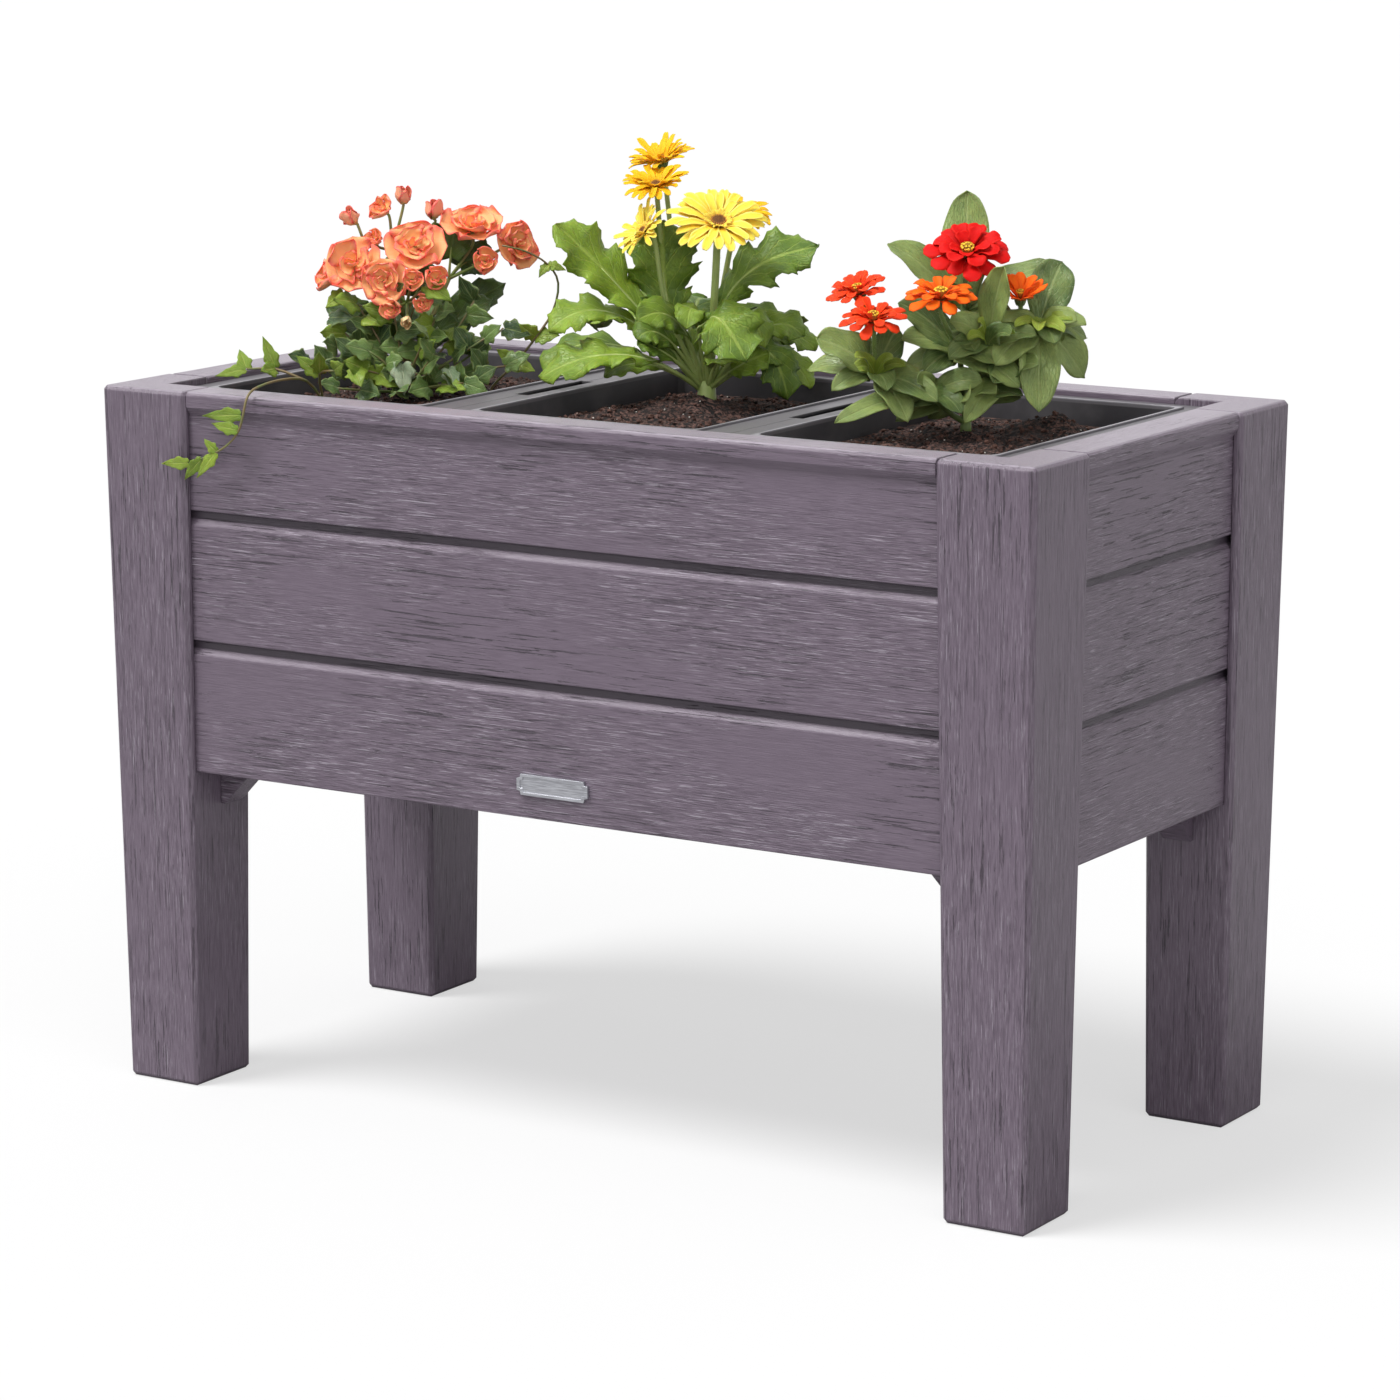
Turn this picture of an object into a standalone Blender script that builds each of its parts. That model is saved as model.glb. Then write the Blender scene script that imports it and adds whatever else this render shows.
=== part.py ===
"""A moulded raised bed on four legs, with three lift-out liners planted with a begonia in ivy,
a gerbera and a zinnia. Metres, +Z up, the front looks along -Y, origin under the middle of the bed.
"""
import math
import random

import bmesh
import bpy
from mathutils import Matrix, Vector

# Driving sizes of the bed
LENGTH = 0.920
DEPTH = 0.460
HEIGHT = 0.624
GAP = 0.0003
MM = 0.001

LEG_TOP = (0.090, 0.094)
LEG_FOOT = (0.076, 0.078)
LEG_SLOPE = (0.006, 0.010)
LEG_ROUND = 0.0035
LEG_SKIN = 0.0072
LEG_WALL = 0.004
VENT_RADIUS = 0.003
VENT_INSET = (0.044, 0.049)
PAST_LEG = 0.15

WALL_BOTTOM = 0.287
WALL_RECESS = 0.0076
WALL_SKIN = 0.008
GROOVES = (0.3918, 0.5068)
GROOVE_HEIGHT = 0.0132
GROOVE_DEPTH = 0.005
GROOVE_LIP = 0.0060
GROOVE_OVERHANG = 0.0014
WALL_END = 0.011
FUSE_DEPTH = 0.0004

BORDER_LONG = 0.038
BORDER_SIDE = 0.0445
RIM_LIP = 0.005
RIM_EDGE = 0.003
RIM_CHAMFER = 0.0015
RIM_UNDER = (0.598, 0.6105, 0.608)
RIM_UNDERCUT = 0.009
LEDGE_LONG = 0.060
LEDGE_SIDE = 0.068
LEDGE_TOP = 0.6147
LEDGE_BOTTOM = 0.6000
LEDGE_THICK = 0.005
LEDGE_TURN = 0.003
SHELF_FOOT = 0.590

FLOOR_THICK = 0.010
BRACE_LENGTH = 0.032
BRACE_DROP = 0.035
BRACE_WIDTH = 0.026
BRACE_TOE = (0.004, -0.006)
BRACE_INSET = (0.052, 0.060)
BRACE_AT = 0.25
BRACE_CLEAR = 0.0008

LINER_PITCH = 0.277
LINER_OPENING = (0.220, 0.332)
LINER_FOOT = (0.196, 0.304)
LINER_WALL = 0.003
LINER_DROP = 0.200
LINER_ROUND = (0.012, 0.010)
LINER_EASE = (0.0001, 0.0006)
OVERLAP = 0.001
FLANGE_THICK = 0.003
FLANGE_HALF = (0.1382, 0.1915)
LIP_HEIGHT = 0.002
HANDLE_SLOT = (0.0065, 0.105)
SLOT_CUT = (0.60, 0.63)
ABOVE = 0.01

SOIL_CLEAR = 0.0006
SOIL_LEVEL = 0.598
SOIL_CORNER = 0.006
SOIL_GRID = (6, 9)
HOLE_DEPTH = 0.022
ROOT_END = SOIL_LEVEL - HOLE_DEPTH + GAP
PLAQUE_SIZE = (0.071, 0.018)
PLAQUE_THICK = 0.0026
PLAQUE_PLACE = (0.0025, 0.316)
PLAQUE_BORDER = (0.006, 0.005)
PLAQUE_NOTCH = (0.004, 0.0035)
PLAQUE_SUNK = 0.0008

# Plants are set out as seen from the corner that the front leg on the right stands at:
# millimetres to the right of the plant's foot, nearer than it, and above it.
SEEN_FROM = math.radians(31.9)
RIGHT = Vector((math.cos(SEEN_FROM), math.sin(SEEN_FROM), 0))
NEAR = Vector((math.sin(SEEN_FROM), -math.cos(SEEN_FROM), 0))
UP = Vector((0, 0, 1))

BEGONIA_FOOT = Vector((-0.300, 0.010, 0.600))
GERBERA_FOOT = Vector((-0.013, 0.050, 0.620))
ZINNIA_FOOT = Vector((0.250, 0.040, 0.608))

LEAF_THICK = 0.0009
LEAF_START = 0.0010
PETAL_THICK = 0.0009
PETAL_THIN = 0.0006


def make_collection(name):
    collection = bpy.data.collections.new(name)
    bpy.context.scene.collection.children.link(collection)
    return collection


def clear_scene():
    for obj in list(bpy.data.objects):
        bpy.data.objects.remove(obj, do_unlink=True)


clear_scene()
BED = make_collection("Planted_raised_bed")
CUTTERS = make_collection("Cutters")


def material(name, colour, roughness, metallic=0.0):
    made = bpy.data.materials.new(name)
    made.use_nodes = True
    shader = made.node_tree.nodes["Principled BSDF"]
    shader.inputs["Base Color"].default_value = (*colour, 1)
    shader.inputs["Roughness"].default_value = roughness
    shader.inputs["Metallic"].default_value = metallic
    return made


PLASTIC = material("purple_grey_plastic", (0.165, 0.130, 0.165), 0.55)
LINER_PLASTIC = material("dark_grey_plastic", (0.060, 0.058, 0.062), 0.45)
PLATE_METAL = material("silver_plate", (0.45, 0.45, 0.47), 0.35, 0.6)
SOIL_BROWN = material("potting_soil", (0.045, 0.028, 0.022), 0.95)
BEGONIA_GREEN = material("begonia_leaf", (0.045, 0.110, 0.030), 0.45)
IVY_GREEN = material("ivy_leaf", (0.070, 0.170, 0.080), 0.45)
GERBERA_GREEN = material("gerbera_leaf", (0.095, 0.220, 0.030), 0.50)
ZINNIA_GREEN = material("zinnia_leaf", (0.110, 0.230, 0.080), 0.55)
CORAL = material("coral_petal", (0.90, 0.200, 0.090), 0.50)
YELLOW = material("yellow_petal", (0.95, 0.720, 0.050), 0.50)
GOLD = material("golden_petal", (0.90, 0.430, 0.010), 0.50)
RED = material("red_petal", (0.75, 0.010, 0.015), 0.50)
ORANGE = material("orange_petal", (0.90, 0.130, 0.015), 0.50)
FLORETS = material("centre_florets", (0.55, 0.300, 0.040), 0.70)


def add_object(name, mesh, look, collection=BED):
    obj = bpy.data.objects.new(name, mesh)
    obj.data.materials.clear()
    obj.data.materials.append(look)
    collection.objects.link(obj)
    if collection is CUTTERS:
        obj.hide_render = True
        obj.display_type = "WIRE"
    return obj


def mesh_from(bm, name):
    bmesh.ops.recalc_face_normals(bm, faces=bm.faces)
    if bm.calc_volume(signed=True) < 0:
        bmesh.ops.reverse_faces(bm, faces=bm.faces)
    mesh = bpy.data.meshes.new(name)
    bm.to_mesh(mesh)
    bm.free()
    return mesh


def mapped_box(name, place, look, collection=BED, rounding=0.0):
    """A box whose corners go where place(x, y, z), each -1 or 1, puts them."""
    bm = bmesh.new()
    bmesh.ops.create_cube(bm, size=2)
    for vert in bm.verts:
        vert.co = place(*(round(c) for c in vert.co))
    if rounding:
        bmesh.ops.bevel(bm, geom=bm.edges[:], offset=rounding, segments=1, profile=0.5,
                        affect="EDGES", clamp_overlap=True)
    return add_object(name, mesh_from(bm, name), look, collection)


def box(name, low, high, look, collection=BED):
    def place(x, y, z):
        return [high[i] if side > 0 else low[i] for i, side in enumerate((x, y, z))]
    return mapped_box(name, place, look, collection)


def curve_to_object(curve_object, name, look, collection=BED):
    """The mesh of a curve with its caps welded on, as a new object in the curve's place."""
    bpy.context.view_layer.update()
    graph = bpy.context.evaluated_depsgraph_get()
    mesh = bpy.data.meshes.new_from_object(curve_object.evaluated_get(graph))
    bm = bmesh.new()
    bm.from_mesh(mesh)
    bmesh.ops.remove_doubles(bm, verts=bm.verts, dist=1e-6)
    bmesh.ops.transform(bm, matrix=curve_object.matrix_world, verts=bm.verts)
    bpy.data.meshes.remove(mesh)
    curve = curve_object.data
    bpy.data.objects.remove(curve_object)
    bpy.data.curves.remove(curve)
    return add_object(name, mesh_from(bm, name), look, collection)


def outline_solid(name, outline, length, matrix, look, collection=BED):
    """A flat outline in XY, given a length along Z and then moved by the matrix."""
    curve = bpy.data.curves.new(name, "CURVE")
    curve.dimensions = "2D"
    curve.fill_mode = "BOTH"
    curve.extrude = length / 2
    spline = curve.splines.new("POLY")
    spline.points.add(len(outline) - 1)
    for point, (x, y) in zip(spline.points, outline):
        point.co = (x, y, 0, 1)
    spline.use_cyclic_u = True
    guide = bpy.data.objects.new(name + "_outline", curve)
    guide.matrix_world = matrix
    CUTTERS.objects.link(guide)
    return curve_to_object(guide, name, look, collection)


def boolean(obj, other, operation):
    modifier = obj.modifiers.new(operation.title(), "BOOLEAN")
    modifier.operation = operation
    modifier.object = other


def apply_modifiers(obj):
    bpy.context.view_layer.update()
    graph = bpy.context.evaluated_depsgraph_get()
    mesh = bpy.data.meshes.new_from_object(obj.evaluated_get(graph))
    obj.modifiers.clear()
    old = obj.data
    obj.data = mesh
    bpy.data.meshes.remove(old)


def fuse(name, pieces, look):
    """One body from overlapping pieces, by one Boolean union on a collection."""
    first = pieces[0]
    group = make_collection(name + "_pieces")
    for piece in pieces[1:]:
        group.objects.link(piece)
        BED.objects.unlink(piece)
    modifier = first.modifiers.new("Union", "BOOLEAN")
    modifier.operation = "UNION"
    modifier.operand_type = "COLLECTION"
    modifier.collection = group
    modifier.solver = "MANIFOLD"
    apply_modifiers(first)
    for piece in pieces[1:]:
        mesh = piece.data
        bpy.data.objects.remove(piece)
        bpy.data.meshes.remove(mesh)
    bpy.data.collections.remove(group)
    first.name = name
    first.data.name = name
    first.data.materials.clear()
    first.data.materials.append(look)
    return first


# The frame of the bed

def drawn_in(axis, z):
    """How far a leg's outer face has come in at height z."""
    return LEG_SLOPE[axis] * (1 - z / HEIGHT)


def make_leg(name, sx, sy):
    half = (LENGTH / 2, DEPTH / 2)

    def column(inset, low, high):
        def place(x, y, z):
            top = z > 0
            height = high if top else low
            share = height / HEIGHT
            corner = []
            for axis, (side, sign) in enumerate(((x, sx), (y, sy))):
                width = LEG_FOOT[axis] + (LEG_TOP[axis] - LEG_FOOT[axis]) * share
                outer = half[axis] - drawn_in(axis, height)
                inner = outer - width
                at = outer - inset if side * sign > 0 else inner + inset
                corner.append(sign * at)
            return (*corner, height)
        return place

    def notch(x, y, z):
        height = LEDGE_TOP + GAP if z > 0 else WALL_BOTTOM - GAP
        corner = []
        for axis, (side, sign) in enumerate(((x, sx), (y, sy))):
            outer = half[axis] - drawn_in(axis, height) - LEG_SKIN
            at = outer if side * sign > 0 else half[axis] - PAST_LEG
            corner.append(sign * at)
        return (*corner, height)

    def cap_trim(x, y, z):
        corner = []
        for axis, (side, sign, border) in enumerate(
                ((x, sx, BORDER_SIDE), (y, sy, BORDER_LONG))):
            at = half[axis] - border if side * sign > 0 else half[axis] - PAST_LEG
            corner.append(sign * at)
        return (*corner, HEIGHT + ABOVE if z > 0 else LEDGE_TOP - ABOVE)

    leg = mapped_box(name, column(0, 0, HEIGHT), PLASTIC, rounding=LEG_ROUND)
    hollow = mapped_box(name + "_hollow", column(LEG_WALL, LEG_WALL, WALL_BOTTOM - LEG_WALL),
                        PLASTIC, CUTTERS)
    corner = mapped_box(name + "_corner", notch, PLASTIC, CUTTERS)
    trim = mapped_box(name + "_trim", cap_trim, PLASTIC, CUTTERS)
    bm = bmesh.new()
    bmesh.ops.create_cone(bm, cap_ends=True, segments=12, radius1=VENT_RADIUS,
                          radius2=VENT_RADIUS, depth=4 * LEG_WALL)
    vent = add_object(name + "_vent", mesh_from(bm, name + "_vent"), PLASTIC, CUTTERS)
    vent.location = (sx * (LENGTH / 2 - VENT_INSET[0]), sy * (DEPTH / 2 - VENT_INSET[1]),
                     LEG_WALL / 2)
    for cutter in (hollow, corner, trim, vent):
        boolean(leg, cutter, "DIFFERENCE")
    return leg


def board_profile(axis):
    """The wall's section as (depth from the leg's face, height): boards, grooves and a flat top.
    A groove has a sloping lip below, an upright back and a small overhang."""
    def face(z):
        return WALL_RECESS + drawn_in(axis, z)

    points = [(face(WALL_BOTTOM), WALL_BOTTOM)]
    for low in GROOVES:
        high = low + GROOVE_HEIGHT
        points.append((face(low), low))
        points.append((face(low) + GROOVE_DEPTH, low + GROOVE_LIP))
        points.append((face(low) + GROOVE_DEPTH, high - GROOVE_OVERHANG))
        points.append((face(high), high))
    return points, face


def bar(name, profile, half, length, angle, collection=BED):
    """A profile of (depth, height) laid along one side of the bed."""
    to_front = Matrix(((0, 0, 1, 0), (1, 0, 0, -half), (0, 1, 0, 0), (0, 0, 0, 1)))
    turn = Matrix.Rotation(angle, 4, "Z")
    return outline_solid(name, profile, length, turn @ to_front, PLASTIC, collection)


def make_wall(name, angle, axis):
    """axis 1 is a long wall, which holds its ledge into the corners, and 0 a short one."""
    points, face = board_profile(axis)
    long_wall = axis == 1
    half = (LENGTH / 2, DEPTH / 2)[axis]
    ledge = LEDGE_LONG if long_wall else LEDGE_SIDE
    border = BORDER_LONG if long_wall else BORDER_SIDE
    skin_top = LEDGE_TOP if long_wall else LEDGE_BOTTOM - GAP
    inner = face(skin_top) + WALL_SKIN
    skin = points + [(face(skin_top), skin_top)]
    turned_down = [(ledge, LEDGE_TOP), (ledge, LEDGE_BOTTOM), (ledge - LEDGE_TURN, LEDGE_BOTTOM),
                   (ledge - LEDGE_TURN, LEDGE_TOP - LEDGE_THICK)]
    if long_wall:
        skin += [*turned_down, (inner, LEDGE_TOP - LEDGE_THICK)]
    else:
        skin += [(inner, skin_top)]
    skin += [(face(WALL_BOTTOM) + WALL_SKIN, WALL_BOTTOM)]
    lip = face(LEDGE_TOP) - RIM_LIP
    under_foot, under_lip, under_border = RIM_UNDER
    strip = [(lip + RIM_UNDERCUT, under_foot), (lip, under_lip), (lip, HEIGHT - RIM_EDGE),
             (lip + RIM_EDGE, HEIGHT), (border - RIM_CHAMFER, HEIGHT),
             (border, HEIGHT - RIM_CHAMFER), (border, under_border)]
    if long_wall:
        span = 2 * (LENGTH / 2 - WALL_END)
        between = LENGTH - 2 * LEG_TOP[0] - 2 * GAP
    else:
        span = DEPTH - 2 * (WALL_RECESS + drawn_in(1, WALL_BOTTOM) + WALL_SKIN + GAP)
        between = DEPTH - 2 * LEG_TOP[1] - 2 * GAP
    wall = bar(name, skin, half, span, angle)
    boolean(wall, bar(name + "_border", strip, half, between, angle, CUTTERS), "UNION")
    if not long_wall:
        outer_side, inner_side = face(SHELF_FOOT) + FUSE_DEPTH, inner - FUSE_DEPTH
        shelf = [(outer_side, SHELF_FOOT), (outer_side, LEDGE_TOP), *turned_down,
                 (inner_side, LEDGE_TOP - LEDGE_THICK), (inner_side, SHELF_FOOT)]
        reach = DEPTH - 2 * LEDGE_LONG - 2 * GAP
        boolean(wall, bar(name + "_shelf", shelf, half, reach, angle, CUTTERS), "UNION")
    return wall


def make_floor():
    """The panel under the liners, with a brace at both inner faces of every leg."""
    skin_side, skin_long = [WALL_RECESS + drawn_in(axis, WALL_BOTTOM) + WALL_SKIN + FUSE_DEPTH
                            for axis in (0, 1)]
    low = WALL_BOTTOM
    x, y = LENGTH / 2 - skin_side, DEPTH / 2 - skin_long
    floor = box("floor_panel", (-x, -y, low), (x, y, low + FLOOR_THICK), PLASTIC)
    toe, tip = BRACE_TOE
    wedge = [(0, toe), (BRACE_LENGTH, toe), (BRACE_LENGTH, tip), (toe, -BRACE_DROP),
             (0, -BRACE_DROP)]
    share = BRACE_AT / HEIGHT
    leg_inner = [side / 2 - drawn_in(axis, BRACE_AT) - BRACE_CLEAR
                 - (LEG_FOOT[axis] + (LEG_TOP[axis] - LEG_FOOT[axis]) * share)
                 for axis, side in enumerate((LENGTH, DEPTH))]
    flat = Matrix(((1, 0, 0, 0), (0, 0, -1, 0), (0, 1, 0, 0), (0, 0, 0, 1)))
    for sx in (-1, 1):
        for sy in (-1, 1):
            for axis in (0, 1):
                if axis == 0:
                    at = Vector((sx * leg_inner[0], sy * (DEPTH / 2 - BRACE_INSET[1]), low))
                    angle = math.pi if sx > 0 else 0
                else:
                    at = Vector((sx * (LENGTH / 2 - BRACE_INSET[0]), sy * leg_inner[1], low))
                    angle = -math.pi / 2 if sy > 0 else math.pi / 2
                matrix = Matrix.Translation(at) @ Matrix.Rotation(angle, 4, "Z") @ flat
                brace = outline_solid("brace", wedge, BRACE_WIDTH, matrix, PLASTIC, CUTTERS)
                boolean(floor, brace, "UNION")
    return floor


def notched_plate(size, notch):
    x, y = size[0] / 2, size[1] / 2
    points = []
    for sx, sy in ((1, 1), (-1, 1), (-1, -1), (1, -1)):
        corner = [(sx * x, sy * (y - notch)), (sx * (x - 0.8 * notch), sy * (y - 0.8 * notch)),
                  (sx * (x - notch), sy * y)]
        points += corner if sx * sy > 0 else corner[::-1]
    return points


def make_plaque():
    lean = math.atan(LEG_SLOPE[1] / HEIGHT)
    x, z = PLAQUE_PLACE
    back = -DEPTH / 2 + WALL_RECESS + drawn_in(1, z) - GAP
    middle = Vector((x, back - PLAQUE_THICK / 2, z))
    upright = Matrix.Translation(middle) @ Matrix.Rotation(math.pi / 2 + lean, 4, "X")
    plate = outline_solid("plaque", notched_plate(PLAQUE_SIZE, PLAQUE_NOTCH[0]), PLAQUE_THICK,
                          upright, PLATE_METAL)
    field = [side - border for side, border in zip(PLAQUE_SIZE, PLAQUE_BORDER)]
    recess = outline_solid("plaque_field", notched_plate(field, PLAQUE_NOTCH[1]), PLAQUE_THICK,
                           upright @ Matrix.Translation((0, 0, PLAQUE_THICK - PLAQUE_SUNK)),
                           PLATE_METAL, CUTTERS)
    boolean(plate, recess, "DIFFERENCE")
    return plate


# The liners and their soil

def tapered(name, middle, top, foot, high, low, look, collection=BED, rounding=0.0):
    """A box with its own half sizes at the top and at the foot, its upright edges rounded."""
    bm = bmesh.new()
    bmesh.ops.create_cube(bm, size=2)
    for vert in bm.verts:
        half = top if vert.co.z > 0 else foot
        vert.co = (middle + vert.co.x * half[0], vert.co.y * half[1],
                   high if vert.co.z > 0 else low)
    if rounding:
        upright = [e for e in bm.edges if abs(e.verts[0].co.z - e.verts[1].co.z) > 0.01]
        bmesh.ops.bevel(bm, geom=upright, offset=rounding, segments=2, profile=0.5,
                        affect="EDGES")
    return add_object(name, mesh_from(bm, name), look, collection)


def make_liner(name, middle):
    flange_low = LEDGE_TOP + GAP
    flange_top = flange_low + FLANGE_THICK
    inner = [side / 2 for side in LINER_OPENING]
    inner_foot = [side / 2 - LINER_WALL for side in LINER_FOOT]
    outer = [side + LINER_WALL - LINER_EASE[0] for side in inner]
    outer_foot = [side / 2 for side in LINER_FOOT]
    foot = flange_top - LINER_DROP
    liner = box(name, (middle - FLANGE_HALF[0], -FLANGE_HALF[1], flange_low),
                (middle + FLANGE_HALF[0], FLANGE_HALF[1], flange_top), LINER_PLASTIC)
    body = tapered(name + "_body", middle, outer, outer_foot, flange_top - OVERLAP, foot,
                   LINER_PLASTIC, CUTTERS, LINER_ROUND[0])
    lip = tapered(name + "_lip", middle, outer, outer, flange_top + LIP_HEIGHT,
                  flange_low + OVERLAP, LINER_PLASTIC, CUTTERS, LINER_ROUND[0])
    space = tapered(name + "_space", middle,
                    [side + LINER_EASE[1] for side in inner], inner_foot, flange_top + ABOVE,
                    foot + LINER_WALL, LINER_PLASTIC, CUTTERS, LINER_ROUND[1])
    boolean(liner, body, "UNION")
    boolean(liner, lip, "UNION")
    boolean(liner, space, "DIFFERENCE")
    for side in (-1, 1):
        edge = middle + side * FLANGE_HALF[0]
        slot = box(name + "_slot", (edge - HANDLE_SLOT[0], -HANDLE_SLOT[1] / 2, SLOT_CUT[0]),
                   (edge + HANDLE_SLOT[0], HANDLE_SLOT[1] / 2, SLOT_CUT[1]), LINER_PLASTIC,
                   CUTTERS)
        boolean(liner, slot, "DIFFERENCE")
    return liner


def make_soil(name, middle, mounds, holes):
    """Soil with lumps raised by a formula, mounds, and a plain hole for each stem."""
    across, along = SOIL_GRID
    foot = LEDGE_TOP + GAP + FLANGE_THICK - LINER_DROP + LINER_WALL + GAP
    top_share = (SOIL_LEVEL - foot) / (LEDGE_TOP + GAP + FLANGE_THICK + ABOVE - foot)
    half_top = [(f / 2 - LINER_WALL) + (t / 2 - f / 2 + LINER_WALL) * top_share - SOIL_CLEAR
                for t, f in zip(LINER_OPENING, LINER_FOOT)]
    half_foot = [f / 2 - LINER_WALL - SOIL_CLEAR for f in LINER_FOOT]
    bm = bmesh.new()
    bmesh.ops.create_grid(bm, x_segments=across, y_segments=along, size=1)
    rim = [e for e in bm.edges if e.is_boundary]
    made = bmesh.ops.extrude_edge_only(bm, edges=rim)["geom"]
    low = [v for v in made if isinstance(v, bmesh.types.BMVert)]
    lowest = set(low)
    bmesh.ops.contextual_create(bm, geom=[e for e in made if isinstance(e, bmesh.types.BMEdge)])
    for vert in bm.verts:
        x, y = vert.co.x, vert.co.y
        half = half_foot if vert in lowest else half_top
        px, py = x * half[0], y * half[1]
        if abs(x) > 0.99 and abs(y) > 0.99:
            px -= math.copysign(SOIL_CORNER, x)
            py -= math.copysign(SOIL_CORNER, y)
        if vert in lowest:
            vert.co = (middle + px, py, foot)
            continue
        inside = (1 - x ** 8) * (1 - y ** 8)
        lumps = 2.2 * math.sin(61 * px + 2) * math.sin(47 * py + 1)
        lumps += 1.4 * math.sin(140 * px + 90 * py) + 1.1 * math.sin(120 * py - 70 * px + 4)
        rise = sum(h * math.exp(-((middle + px - mx) ** 2 + (py - my) ** 2) / (2 * s * s))
                   for mx, my, h, s in mounds)
        vert.co = (middle + px, py, SOIL_LEVEL + inside * (lumps * MM + rise))
    bmesh.ops.triangulate(bm, faces=bm.faces[:])
    soil = add_object(name, mesh_from(bm, name), SOIL_BROWN)
    for index, (x, y, radius) in enumerate(holes):
        hole = bmesh.new()
        bmesh.ops.create_cone(hole, cap_ends=True, segments=10, radius1=radius, radius2=radius,
                              depth=2 * HOLE_DEPTH)
        bmesh.ops.translate(hole, verts=hole.verts, vec=(x, y, SOIL_LEVEL))
        cutter = add_object(f"{name}_hole_{index}", mesh_from(hole, name), SOIL_BROWN, CUTTERS)
        boolean(soil, cutter, "DIFFERENCE")
    return soil


# Shapes that the plants share

def spot(foot, place):
    """A point given as millimetres to the right of, nearer than and above a plant's foot."""
    right, near, up = place
    return foot + (RIGHT * right + NEAR * near + UP * up) * MM


def root_below(point):
    """Where a stem that starts at this point ends in its hole."""
    return Vector((point.x, point.y, ROOT_END))


def aim(direction):
    right, near, up = direction
    return (RIGHT * right + NEAR * near + UP * up).normalized()


def bend(start, middle, end):
    """A smooth line through three points: its place and its heading at a share t."""
    control = 2 * middle - (start + end) / 2

    def at(t):
        return start * (1 - t) ** 2 + control * 2 * t * (1 - t) + end * t * t

    def heading(t):
        return ((control - start) * (1 - t) + (end - control) * t).normalized()
    return at, heading


def stem(points, radius, tip_radius=None, look=BEGONIA_GREEN, sides=1):
    curve = bpy.data.curves.new("stem", "CURVE")
    curve.dimensions = "3D"
    curve.bevel_depth = 1.0
    curve.bevel_resolution = sides
    curve.use_fill_caps = True
    spline = curve.splines.new("POLY")
    spline.points.add(len(points) - 1)
    last = len(points) - 1
    for index, point in enumerate(points):
        spline.points[index].co = (*point, 1)
        end = radius if tip_radius is None else tip_radius
        spline.points[index].radius = radius + (end - radius) * index / last
    guide = bpy.data.objects.new("stem_line", curve)
    CUTTERS.objects.link(guide)
    return curve_to_object(guide, "stem", look)


def blade(line, rows, look, face, fold, ripple=0.0, thick=LEAF_THICK):
    """A thin leaf folded up along its midrib. Each row is (share along the line, half width,
    lead of its edges), and the ripple lifts the edges of every other row."""
    at, heading = line
    bm = bmesh.new()
    bmesh.ops.create_grid(bm, x_segments=len(rows) - 1, y_segments=2, size=1)
    for vert in bm.verts:
        index = round((vert.co.x + 1) / 2 * (len(rows) - 1))
        share, half, lead = rows[index]
        across = vert.co.y
        ahead = heading(share)
        sideways = ahead.cross(face).normalized()
        normal = sideways.cross(ahead)
        lift = half * abs(across) * (fold + ripple * (-1) ** index)
        vert.co = (at(share) + sideways * across * half + normal * lift
                   + ahead * lead * abs(across))
    bmesh.ops.remove_doubles(bm, verts=bm.verts, dist=2e-5)
    bmesh.ops.triangulate(bm, faces=bm.faces[:])
    bmesh.ops.solidify(bm, geom=bm.faces[:], thickness=thick)
    return add_object("blade", mesh_from(bm, "blade"), look)


def rows_of(shape, half):
    return [(share, width * half * MM, lead * half * MM) for share, width, lead in shape]


def frame_on(axis):
    """Two directions square to the axis."""
    first = axis.cross(UP if abs(axis.z) < 0.9 else RIGHT).normalized()
    return first, axis.cross(first)


def turned(axis, centre, rings, segments, look):
    """A solid of rings (height along the axis, radius), in millimetres, closed at both ends."""
    bm = bmesh.new()
    first, second = frame_on(axis)
    bmesh.ops.create_cone(bm, cap_ends=True, segments=segments, radius1=1, radius2=1, depth=2)
    sides = [e for e in bm.edges if abs(e.verts[0].co.z - e.verts[1].co.z) > 1]
    if len(rings) > 2:
        bmesh.ops.subdivide_edges(bm, edges=sides, cuts=len(rings) - 2, use_grid_fill=True)
    for vert in bm.verts:
        index = round((vert.co.z + 1) / 2 * (len(rings) - 1))
        height, radius = rings[index]
        vert.co = centre + (axis * height + (first * vert.co.x + second * vert.co.y) * radius) * MM
    return add_object("turned", mesh_from(bm, "turned"), look)


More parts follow.
